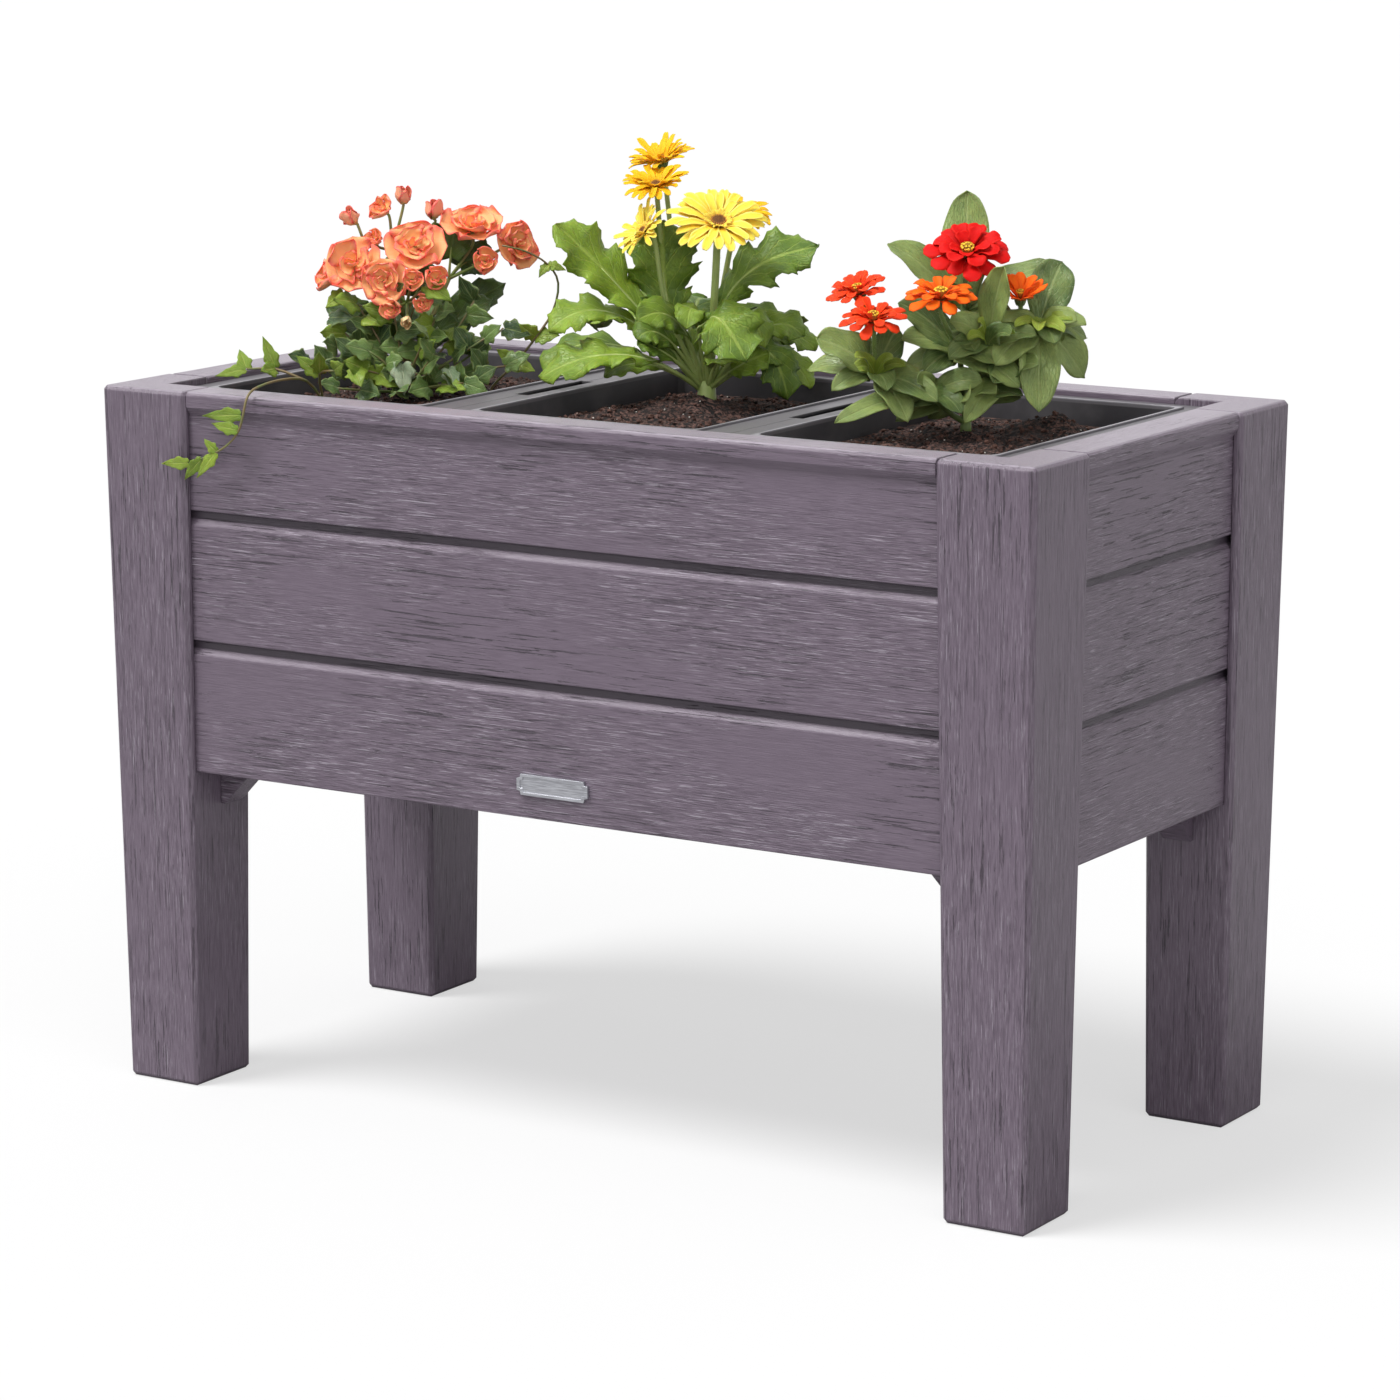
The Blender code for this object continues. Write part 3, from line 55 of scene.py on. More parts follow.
print("nodes in the frame:", len(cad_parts))

# %% [markdown]
# ## Shader maths that reads like arithmetic
#
# A material is a small program, and its sums are easier to read as Python than as a chain of
# Math nodes. The class below wraps a socket, so that an expression such as `1 - mask * 0.4`
# adds the nodes by itself. Colours don't go through Math nodes, which would turn them grey:
# `blend` mixes two colours by a mask. Any other node comes from the one method `add`.

# %% A wrapped socket and a material that builds nodes
class Signal:
    """A socket that carries a number, with Python's operators on it."""

    def __init__(self, skin, socket):
        self.skin = skin
        self.socket = socket

    def __add__(self, other):
        return self.skin.maths("ADD", self, other)

    def __sub__(self, other):
        return self.skin.maths("SUBTRACT", self, other)

    def __rsub__(self, other):
        return self.skin.maths("SUBTRACT", other, self)

    def __mul__(self, other):
        return self.skin.maths("MULTIPLY", self, other)

    def __abs__(self):
        return self.skin.maths("ABSOLUTE", self)

    __radd__ = __add__
    __rmul__ = __mul__

    def over(self, low, high):
        """0 where the number is under low, 1 where it is over high."""
        return self.skin.add("MapRange", {0: self, 1: low, 2: high},
            interpolation_type="SMOOTHSTEP")


class Nodes:
    """A node tree, and the methods that add nodes to it."""

    def __init__(self, tree):
        self.tree = tree

    def add(self, kind, inputs=None, out=0, **settings):
        """Any node by its kind, with its inputs fed and its settings made."""
        node = self.tree.nodes.new("ShaderNode" + kind)
        for key, value in settings.items():
            setattr(node, key, value)
        for key, value in (inputs or {}).items():
            self.feed(node.inputs[key], value)
        return Signal(self, node.outputs[out])

    def maths(self, operation, *values):
        return self.add("Math", dict(enumerate(values)), operation=operation)

    def feed(self, socket, value):
        if isinstance(value, Signal):
            self.tree.links.new(value.socket, socket)
        elif isinstance(value, tuple) and len(value) == 3 and socket.type == "RGBA":
            socket.default_value = (*value, 1)
        else:
            socket.default_value = value

    def blend(self, mask, first, second):
        return self.add("Mix", {0: mask, 6: first, 7: second}, out=2, data_type="RGBA")

    def place(self):
        return self.add("TexCoord", out="Object")

    def part(self, which, vector=None):
        """One of a vector's three numbers, or of the place's if no vector is given."""
        return self.add("SeparateXYZ", {0: vector or self.place()}, out=which)

    def tone(self):
        """The number that each leaf, petal or crumb carries."""
        return self.add("Attribute", out="Fac", attribute_name="tone")

    def stretched(self, factors, vector=None):
        return self.add("VectorMath", {0: vector or self.place(), 1: factors},
            operation="MULTIPLY")

    def speckle(self, where, scale, detail, roughness):
        return self.add("TexNoise",
            {"Vector": where, "Scale": scale, "Detail": detail, "Roughness": roughness})

    def on_blade(self):
        """The blade's own coordinates, the share from its midrib and the share of its length."""
        blade_map = self.add("UVMap", uv_map="blade")
        return blade_map, abs(self.part(0, blade_map) * 2 - 1), self.part(1, blade_map)


class Skin(Nodes):
    """A Principled material, and what only a material has."""

    def __init__(self, name, **fixed):
        self.material = bpy.data.materials.new(name)
        self.material.use_nodes = True
        super().__init__(self.material.node_tree)
        self.shader = self.tree.nodes["Principled BSDF"]
        for socket, value in fixed.items():
            self.shader.inputs[socket.replace("_", " ")].default_value = value

    def paint(self, **values):
        for name, value in values.items():
            self.feed(self.shader.inputs[name.replace("_", " ")], value)

    def relief(self, height, distance, strength=1.0, rounding=0.0):
        inputs = {"Height": height, "Distance": distance, "Strength": strength}
        if rounding:
            inputs["Normal"] = self.add("Bevel", {"Radius": rounding}, samples=4)
        self.paint(Normal=self.add("Bump", inputs))


# %% [markdown]
# ## The moulded wood grain
#
# The bed is rotational-moulded plastic with a brushed grain: short fine ridges that run along
# each board, a few darker cracks and pale glints where a ridge catches the light. Noise
# stretched a long way in the direction of the grain, at three sizes, gives all three. The wall
# boards' grain runs along X or Y and the legs' grain along Z, so one recipe makes three skins.
# The grain is worn away in patches and at the walls' ends. The legs keep some of it everywhere.
# A pale painted sheen lies on the rim's top, for the light that falls on it from above, and painted
# shade darkens the grooves, both found by height. A Bevel node rounds the sharp edges of the
# frame's solids in the shading alone.

# %% Three skins of grained plastic
GRAIN_SQUEEZE = 32
PLASTIC = (0.143, 0.11, 0.147)
PLASTIC_DARK = (0.09, 0.066, 0.093)
PLASTIC_LIGHT = (0.188, 0.148, 0.192)
# The dark of the grain's cracks, also used for the painted shade in the grooves.
CRACK_AND_GROOVE_SHADE = (0.03, 0.022, 0.032)
GLINT = (0.4, 0.365, 0.42)
GROOVES = (0.3918, 0.5068)
GROOVE_LIP = 0.006
GROOVE_HEIGHT = 0.0132
RIM_TOP = 0.6225
SMOOTH_END = 0.05


def grained_plastic(name, along, wear, least, reach):
    skin = Skin(name, Specular_IOR_Level=0.5)
    squeeze = [GRAIN_SQUEEZE] * 3
    squeeze[along] = 1
    lines = skin.stretched(tuple(squeeze))
    hairs = skin.speckle(lines, 50, 2, 0.6)
    streaks = skin.speckle(lines, 33, 3, 0.62)
    cracks = skin.speckle(lines, 13, 4, 0.72)
    patches = skin.speckle(skin.stretched(tuple(min(3, s) for s in squeeze)), 4.2, 2, 0.5)
    broad = skin.speckle(skin.place(), 5, 2, 0.5)
    worn = (patches.over(0.36, 0.58) * (1 - least) + least) * wear
    if reach:
        run = abs(skin.part(along))
        worn = worn * (1 - run.over(reach - SMOOTH_END, reach - 0.6 * SMOOTH_END))
    colour = skin.blend(hairs.over(0.34, 0.66), PLASTIC_DARK, PLASTIC_LIGHT)
    colour = skin.blend(0.3 + 0.6 * worn, PLASTIC, colour)
    split = cracks.over(0.585, 0.625) * (broad.over(0.42, 0.56) * (1 - least) + least)
    dark = skin.maths("MAXIMUM", split, (1 - streaks.over(0.34, 0.41)) * worn)
    colour = skin.blend(dark * 0.74, colour, CRACK_AND_GROOVE_SHADE)
    glint = streaks.over(0.6, 0.64) * worn
    colour = skin.blend(glint * 0.62, colour, GLINT)
    height = skin.part(2)
    # Painted sheen: the rim's top is painted paler, for the light that falls on it from above.
    dust_and_sheen = height.over(RIM_TOP, RIM_TOP + 0.0008) * (0.15 + 0.8 * hairs)
    colour = skin.blend(dust_and_sheen, colour, (0.36, 0.32, 0.37))
    # Painted shade: the back of each groove is painted dark, where shade falls in the recess.
    if along < 2:
        for low in GROOVES:
            groove_shade = height.over(low + 0.8 * GROOVE_LIP, low + GROOVE_LIP)
            groove_shade = groove_shade * (1 - height.over(low + GROOVE_HEIGHT, low + GROOVE_HEIGHT + 0.0005))
            colour = skin.blend(groove_shade * 0.75, colour, CRACK_AND_GROOVE_SHADE)
    skin.paint(Base_Color=colour, Roughness=0.27 + 0.2 * hairs + 0.1 * broad)
    ridge = 0.4 * hairs + streaks * (0.2 + worn) - split
    skin.relief(ridge, 0.0006, 0.95, rounding=0.0026)
    return skin.material


BOARDS = (("x", 1.0, 0.0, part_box("wall_front")[1].x), ("y", 0.85, 0.0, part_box("wall_right")[1].y),
    ("z", 0.7, 0.45, None))
GRAIN = {axis: grained_plastic(f"moulded_grain_along_{axis}", index, wear, least, reach) for index,
    (axis, wear, least, reach) in enumerate(BOARDS)}

for node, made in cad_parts.items():
    if node in ("wall_front", "wall_back", "floor_panel"):
        made.material_slots[0].material = GRAIN["x"]
    elif node in ("wall_left", "wall_right"):
        made.material_slots[0].material = GRAIN["y"]
    elif node.startswith("leg_"):
        made.material_slots[0].material = GRAIN["z"]
print("skins of the bed:", ", ".join(skin.name for skin in GRAIN.values()))

# %% [markdown]
# ## Liners and the blank plate
#
# The liners are a smoother dark grey plastic, with a fine texture and dust that dulls them in
# patches. Their flange tops are painted a lighter grey, a painted reflection of the light from
# above, and their lips paler still, a painted highlight. The plate on the front board is cast
# metal with a bead round it, left blank. Both keep the frame's own solids, so only a skin is made.

# %% Skins for the liners and the plate
def liner_plastic():
    skin = Skin("liner_plastic", Specular_IOR_Level=0.5)
    dust_and_sheen = skin.speckle(skin.place(), 16, 4, 0.6)
    pores = skin.speckle(skin.place(), 900, 2, 0.5)
    colour = skin.blend(dust_and_sheen.over(0.38, 0.7), (0.026, 0.024, 0.028), (0.06, 0.056, 0.061))
    height = skin.part(2)
    # Painted reflection: the flange tops are painted lighter, and their lips get a paler painted
    # highlight broken up by the dust noise.
    colour = skin.blend(height.over(0.616, 0.6172), colour, (0.105, 0.098, 0.108))
    colour = skin.blend(height.over(0.6184, 0.6196) * dust_and_sheen.over(0.2, 0.6), colour,
        (0.26, 0.25, 0.275))
    skin.paint(Base_Color=colour, Roughness=0.34 + 0.25 * dust_and_sheen)
    skin.relief(pores, 0.0002, 0.5, rounding=0.0012)
    return skin.material


def cast_plate():
    skin = Skin("cast_plate", Metallic=0.85)
    brushed = skin.speckle(skin.stretched((1, 30, 30)), 60, 3, 0.6)
    patina = skin.speckle(skin.place(), 160, 3, 0.6)
    colour = skin.blend(brushed.over(0.3, 0.7), (0.3, 0.3, 0.33), (0.56, 0.57, 0.61))
    skin.paint(Base_Color=colour, Roughness=0.3 + 0.22 * patina)
    skin.relief(brushed, 0.0002, 0.5, rounding=0.0006)
    return skin.material


LINER_SKIN = liner_plastic()
for node in ("liner_left", "liner_middle", "liner_right"):
    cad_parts[node].material_slots[0].material = LINER_SKIN
PLATE_SKIN = cast_plate()
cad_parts["plaque"].material_slots[0].material = PLATE_SKIN
print("skins of the liners and the plate:", LINER_SKIN.name, PLATE_SKIN.name)

# %% [markdown]
# ## One piece from many small shapes
#
# A plant has dozens of leaves that share a material and never move apart, so they belong in one
# object. `Growth` gathers them: each shape is built in its own bmesh and handed over. Two layers
# travel with it, a UV map that runs across and along every blade and a number called tone that
# makes one leaf a little lighter than the next. A Solidify modifier at the end gives every blade
# its thickness, and its back takes the second material.

# %% Gather and finish a piece
def new_shape():
    shape = bmesh.new()
    shape.loops.layers.uv.new("blade")
    shape.verts.layers.float.new("tone")
    return shape


class Growth:
    """One piece in the making: it stands for one of the frame's nodes. The slot it is given is not
    used.
    """

    def __init__(self, name, node, slot, *materials, thick=0.0):
        self.name = name
        self.node = node
        self.slot = slot
        self.materials = materials
        self.thick = thick
        self.shape = new_shape()

    def take(self, shape, tone):
        layer = shape.verts.layers.float["tone"]
        for vert in shape.verts:
            vert[layer] = tone
        mesh = bpy.data.meshes.new("taken")
        shape.to_mesh(mesh)
        shape.free()
        self.shape.from_mesh(mesh)
        bpy.data.meshes.remove(mesh)

    def done(self, smooth=True):
        mesh = bpy.data.meshes.new(self.name)
        self.shape.to_mesh(mesh)
        self.shape.free()
        mesh.polygons.foreach_set("use_smooth", [smooth] * len(mesh.polygons))
        made = bpy.data.objects.new(self.name, mesh)
        bpy.context.scene.collection.objects.link(made)
        for material in self.materials:
            mesh.materials.append(material)
        if self.thick:
            wall = made.modifiers.new("Thickness", "SOLIDIFY")
            wall.thickness = self.thick
            wall.offset = 0
            wall.material_offset = len(self.materials) - 1
        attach(made, "root")
        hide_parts(self.node)
        print(f"{self.name}: {len(mesh.polygons)} faces")


# %% [markdown]
# ## Where things stand
#
# The plants are set out as the camera sees them: so far to the right of a plant's foot, so far
# nearer than it and so far above it, in millimetres. These are the same numbers that placed the
# frame's plain solids, so each fine piece lands where its plain one stands.

# %% Directions, feet and smooth lines
SEEN_FROM = math.radians(31.9)
RIGHT = Vector((math.cos(SEEN_FROM), math.sin(SEEN_FROM), 0))
NEAR = Vector((math.sin(SEEN_FROM), -math.cos(SEEN_FROM), 0))
BEGONIA_FOOT = Vector((-0.3, 0.01, 0.6))
GERBERA_FOOT = Vector((-0.013, 0.05, 0.62))
ZINNIA_FOOT = Vector((0.25, 0.04, 0.608))


def spot(foot, place):
    right, near, up = place
    return foot + (RIGHT * right + NEAR * near + UP * up) * MM


def aim(direction):
    right, near, up = direction
    return (RIGHT * right + NEAR * near + UP * up).normalized()


def bend(start, middle, end):
    """A smooth line through three points: its place and its heading at a share t."""
    control = 2 * middle - (start + end) / 2

    def at(t):
        return start * (1 - t) ** 2 + control * 2 * t * (1 - t) + end * t * t

    def heading(t):
        return ((control - start) * (1 - t) + (end - control) * t).normalized()
    return at, heading


def through(points, steps=4):
    """Points on a smooth line that passes through all the given ones."""
    ends = [2 * points[0] - points[1], *points, 2 * points[-1] - points[-2]]
    line = []
    for before, start, end, after in zip(ends, ends[1:], ends[2:], ends[3:]):
        for step in range(steps):
            t = step / steps
            line.append(0.5 * (2 * start + (end - before) * t
                + (2 * before - 5 * start + 4 * end - after) * t * t
                + (3 * start - before - 3 * end + after) * t ** 3))
    return line + [points[-1]]


# %% [markdown]
# ## A blade: one grid for every leaf and petal
#
# Leaves and petals are sheets with an outline, a fold along the midrib, waves along the edge
# and a curve from root to tip. All of these are moves on one flat grid, so a single function
# makes them: the outline is a list of (share of the length, half width, lead of the edge), and
# a lobed outline only needs more rows. The grid's own coordinates become the UV map before its
# points move, which is what lets a vein pattern follow the leaf.

# %% The blade and its outlines
def blade(line, outline, half, facing, fold=0.15, cup=0.0, wave=0.0, waves=4.0, vein=0.0,
        columns=8, phase=0.0):
    at, heading = line
    shape = new_shape()
    rows = len(outline) - 1
    bmesh.ops.create_grid(shape, x_segments=rows, y_segments=columns, size=1)
    layer = shape.loops.layers.uv["blade"]
    for face in shape.faces:
        for loop in face.loops:
            loop[layer].uv = ((loop.vert.co.y + 1) / 2, (loop.vert.co.x + 1) / 2)
    for vert in shape.verts:
        across = vert.co.y
        share, wide, lead = outline[round((vert.co.x + 1) / 2 * rows)]
        far = abs(across)
        reach = wide * half
        ahead = heading(share)
        sideways = ahead.cross(facing).normalized()
        upward = sideways.cross(ahead)
        lift = reach * (fold * far + cup * far * far)
        lift += wave * half * far * far * math.sin(2 * math.pi * (waves * share + phase)
            + (1.3 if across > 0 else 0.0))
        lift += vein * half * (1 - far) * math.cos(22 * (share - 0.55 * far)) * min(1, 6 * far)
        vert.co = (at(share) + sideways * across * reach + upward * lift + ahead * lead * half
            * far)
    bmesh.ops.remove_doubles(shape, verts=shape.verts, dist=0.00002)
    return shape


def rounded(points, steps):
    """An outline drawn smoothly through a few points."""
    return [tuple(p) for p in through([Vector(p) for p in points], steps)]


def pointed(points, steps):
    """An outline with straight runs between its points, for lobes and teeth."""
    line = []
    for (s0, w0, l0), (s1, w1, l1) in zip(points, points[1:]):
        for step in range(steps):
            t = step / steps
            line.append((s0 + (s1 - s0) * t, w0 + (w1 - w0) * t, l0 + (l1 - l0) * t))
    return line + [points[-1]]


def toothed(outline, depth):
    """The same outline with every other row drawn in, which gives it a fine toothed edge."""
    return [(s, w * (1 - depth * (i % 2)), lead) for i, (s, w, lead) in enumerate(outline)]


# %% [markdown]
# ## Stalks
#
# A stalk is a tube along a line, thicker at its foot. A curve with a round bevel makes one, and
# a curve can hold many splines, so all of a plant's stalks are one curve that is turned into a
# mesh once. The flower stalks of the gerbera and the zinnia are downy: short cones set on them
# at random make the pale fuzz along their edges.

# %% Many stalks from one curve
HAIR_FOOT = 0.00009
HAIR_TIP = 0.00002
chance, downy = random.Random(11), random.Random(23)


def add_stalks(growth, lines):
    """Tubes along (points, thickness at the foot, thickness at the tip)."""
    curve = bpy.data.curves.new("stalks", "CURVE")
    curve.dimensions = "3D"
    curve.bevel_depth = 1.0
    curve.bevel_resolution = 2
    curve.use_fill_caps = True
    for points, thick, thin in lines:
        spline = curve.splines.new("POLY")
        spline.points.add(len(points) - 1)
        for index, (knot, point) in enumerate(zip(spline.points, points)):
            knot.co = (*point, 1)
            knot.radius = thick + (thin - thick) * index / (len(points) - 1)
    guide = bpy.data.objects.new("stalks", curve)
    bpy.context.scene.collection.objects.link(guide)
    bpy.context.view_layer.update()
    mesh = bpy.data.meshes.new_from_object(guide.evaluated_get(
        bpy.context.evaluated_depsgraph_get()))
    shape = new_shape()
    shape.from_mesh(mesh)
    bmesh.ops.remove_doubles(shape, verts=shape.verts, dist=0.000001)
    bmesh.ops.recalc_face_normals(shape, faces=shape.faces)
    bpy.data.objects.remove(guide)
    bpy.data.curves.remove(curve)
    bpy.data.meshes.remove(mesh)
    growth.take(shape, 0.5)


def frame_on(axis):
    """Two directions square to an axis."""
    first = axis.cross(UP if abs(axis.z) < 0.9 else RIGHT).normalized()
    return first, axis.cross(first)


def outward(axis, angle):
    """The direction square to an axis, at that angle round it."""
    first, second = frame_on(axis)
    return first * math.cos(angle) + second * math.sin(angle)


def around(count, loose, phase=0.0):
    """Angles spread round a circle, each a little off its even place."""
    for index in range(count):
        yield 2 * math.pi * (index + phase + chance.uniform(-loose, loose)) / count


def stood(place, *axes):
    """The move that stands a shape at a place, with its own axes along these three."""
    move = Matrix(axes).transposed().to_4x4()
    move.translation = place
    return move


def add_hairs(growth, points, thick, count, longest):
    """Fine hairs that stand off a stalk, each a narrow cone with its foot in the stalk."""
    batch = new_shape()
    for _ in range(count):
        step = downy.randrange(len(points) - 1)
        along = points[step + 1] - points[step]
        out = outward(along.normalized(), downy.uniform(0, 2 * math.pi))
        length = downy.uniform(0.5, 1) * longest
        turn = out.to_track_quat("Z", "Y").to_matrix().to_4x4()
        turn.translation = points[step] + along * downy.random() + out * (thick + 0.35 * length)
        bmesh.ops.create_cone(batch, cap_ends=True, segments=3, radius1=HAIR_FOOT,
            radius2=HAIR_TIP, depth=length, matrix=turn)
    growth.take(batch, 0.9)


def add_turned(growth, centre, axis, rings, steps, tone, size):
    """A profile of (height, radius) in millimetres, spun round the axis."""
    shape = new_shape()
    verts = [shape.verts.new((radius * MM * size, 0, height * MM * size)) for height,
        radius in rings]
    edges = [shape.edges.new(pair) for pair in zip(verts, verts[1:])]
    bmesh.ops.spin(shape, geom=verts + edges, cent=(0, 0, 0), axis=(0, 0, 1), angle=2 * math.pi,
        steps=steps, use_merge=True, dvec=(0, 0, 0))
    bmesh.ops.remove_doubles(shape, verts=shape.verts, dist=0.00001)
    bmesh.ops.holes_fill(shape, edges=shape.edges)
    bmesh.ops.recalc_face_normals(shape, faces=shape.faces)
    bmesh.ops.transform(shape, matrix=stood(centre, *frame_on(axis), axis), verts=shape.verts)
    growth.take(shape, tone)


# %% [markdown]
# ## Skins of the plants
#
# A leaf's pattern lives in the blade's own coordinates: a pale midrib, side veins that slant
# forward from it and a fine net between them. The back of a leaf is the same pattern, paler and
# more matt. A petal is simpler: its colour runs from base to tip, its edge may differ, and fine
# streaks run along it. Both are a little see-through, which a small share of subsurface
# scattering imitates.

# %% Leaf, petal and stalk skins
def leaf_skin(name, dark, light, vein, gloss=0.4, ribs=7, slant=0.45, net=26, margin=None,
        vein_share=0.6):
    skin = Skin(name, Subsurface_Weight=0.08, Subsurface_Scale=0.003, Specular_IOR_Level=0.45)
    blade_map, across, along = skin.on_blade()
    midrib = 1 - across.over(0.03, 0.11)
    phase = (along - across * slant) * (2 * math.pi * ribs)
    side = skin.maths("SINE", phase).over(0.9, 1.0) * (1 - across.over(0.75, 1.0))
    cells = skin.add("TexVoronoi", {"Vector": blade_map, "Scale": net}, feature="DISTANCE_TO_EDGE")
    net_lines = 1 - cells.over(0.0, 0.09)
    broad = skin.speckle(skin.place(), 45, 3, 0.6)
    colour = skin.blend(skin.tone() * 0.8 + (broad * 1.3 - 0.55), dark, light)
    if margin:
        colour = skin.blend(across.over(0.72, 0.98) * 0.75, colour, margin)
    veins = skin.maths("MAXIMUM", midrib, side * 0.75)
    colour = skin.blend(net_lines * 0.26, colour, dark)
    colour = skin.blend(veins * vein_share, colour, vein)
    skin.paint(Base_Color=colour, Roughness=gloss + 0.18 * broad)
    skin.relief(0.4 * broad - 0.5 * net_lines - veins, 0.0009, 0.75)
    return skin.material


def petal_skin(name, base, middle, edge, streak, base_reach=0.4, edge_share=0.6, gloss=0.42):
    skin = Skin(name, Subsurface_Weight=0.18, Subsurface_Scale=0.004, Specular_IOR_Level=0.14)
    blade_map, across, along = skin.on_blade()
    lines = skin.speckle(skin.stretched((34, 2.2, 1), blade_map), 1.0, 2, 0.5)
    broad = skin.speckle(skin.place(), 120, 2, 0.5)
    colour = skin.blend(along.over(0.0, base_reach), base, middle)
    colour = skin.blend(skin.tone() * 0.45, colour, base)
    rim = skin.maths("MAXIMUM", across.over(0.58, 1.0), along.over(0.74, 1.0))
    colour = skin.blend(rim * edge_share, colour, edge)
    colour = skin.blend(lines.over(0.5, 0.75) * 0.35, colour, streak)
    skin.paint(Base_Color=colour, Roughness=gloss + 0.2 * broad)
    skin.relief(lines + 0.3 * broad, 0.0004, 0.5)
    return skin.material


def petal_skins(name, front, back, **finish):
    """The skins of a petal's front and back."""
    return petal_skin(name, *front, **finish), petal_skin(name + "_back", *back)


def stalk_skin(name, colour, shade):
    skin = Skin(name, Subsurface_Weight=0.05, Subsurface_Scale=0.002)
    fibres = skin.speckle(skin.stretched((9, 9, 1)), 90, 3, 0.6)
    patches = skin.speckle(skin.place(), 50, 2, 0.5)
    mixed = skin.blend(patches.over(0.4, 0.7), colour, shade)
    skin.paint(Base_Color=skin.blend(fibres * 0.25, mixed, shade), Roughness=0.45)
    skin.relief(fibres, 0.0003, 0.5)
    return skin.material


# %% [markdown]
# ## Helpers for petals and blooms
#
# A bloom is rings of petals round one axis. Each ring is told by how far out and how high its
# petals run at their root, middle and tip, all in millimetres at the bloom's full size, and by
# how many there are. Small random changes in angle, length and tone keep it from looking cut
# by machine.

# %% Rings of petals
def ring(growth, centre, axis, count, phase, run, half, outline, size, cup, tone, wave=0.05,
        columns=6, loose=0.05, twist=0.0, tilt=0.0):
    for angle in around(count, loose, phase):
        stretch = 1 + chance.uniform(-loose, loose)
        lean = chance.uniform(-tilt, tilt)
        out = outward(axis, angle)
        aside = axis.cross(out)
        places = [centre
            + (out * far + axis * (height + lean * step / 2) + aside * twist * step * half)
            * (size * MM * (stretch if step else 1)) for step, (far, height) in enumerate(run)]
        sheet = blade(bend(*places), outline, half * size * MM * chance.uniform(0.94, 1.06),
            axis * 0.6 - out * 0.5, fold=0.0, cup=cup, wave=wave, waves=2, columns=columns,
            phase=chance.random())
        bmesh.ops.reverse_faces(sheet, faces=sheet.faces)
        growth.take(sheet, min(1, max(0, tone + chance.uniform(-0.18, 0.18))))


def leaf(growth, line, outline, half, facing, **bends):
    facing = facing + RIGHT * chance.uniform(-0.35, 0.35) + UP * chance.uniform(-0.25, 0.25)
    sheet = blade(line, outline, half * MM, facing, phase=chance.random(), **bends)
    bmesh.ops.reverse_faces(sheet, faces=sheet.faces)
    growth.take(sheet, chance.uniform(0.1, 0.9))


def stalk(line, thick, thin, steps=8, stop=1.0):
    at, _ = line
    return [at(stop * step / steps) for step in range(steps + 1)], thick * MM, thin * MM


def flower_stalk(lines, stalks, sepals, under, axis, start, middle, neck, widths, steps, cup,
        sepal_ring, scale):
    """A stalk with a green cup under its bloom and a ring of small sepals round the cup."""
    before = under - axis * neck
    at, _ = bend(start, middle, before)
    lines.append((through([at(0), at(0.5), before, under], steps), *widths))
    add_turned(stalks, under, axis, cup, 14, 0.4, scale)
    count, run, half = sepal_ring
    ring(sepals, under, axis, count, 0.0, run, half, SPOON_PETAL, scale, cup=0.2, columns=2,
        tone=0.3)


def grow_down(plant, node, lines, count, longest):
    """The down on flower stalks, which were the last lines to be laid out."""
    down = Growth(plant + "_stalk_down", node, plant + "_green", DOWN)
    for points, thick, _ in lines:
        add_hairs(down, points, thick * 0.94, count, longest)
    down.done(smooth=False)


ROUND_PETAL = rounded(((0.0, 0.18, 0), (0.22, 0.58, 0), (0.52, 0.98, 0), (0.78, 0.96, -0.04),
    (0.94, 0.66, -0.1), (1.0, 0.3, -0.12)), 3)
STRAP_PETAL = rounded(((0.0, 0.42, 0), (0.3, 0.78, 0), (0.65, 1.0, 0), (0.9, 0.8, -0.1),
    (1.0, 0.36, 0.1)), 3)
SPOON_PETAL = rounded(((0.0, 0.26, 0), (0.3, 0.52, 0), (0.72, 1.0, 0), (0.92, 0.78, -0.06),
    (1.0, 0.34, 0.04)), 3)

DOWN = stalk_skin("stalk_down", (0.56, 0.62, 0.4), (0.44, 0.5, 0.28))

# %% [markdown]
# ## Begonia
#
# Its blooms are rosettes, cups and buds in coral, with paler, yellower hearts and pinker edges.
# A rosette is four rings of round petals that stand up more and more towards the heart, a cup
# is three, and a bud's petals close over its top. They stand on thin jointed stalks above dark,
# glossy leaves with toothed edges.

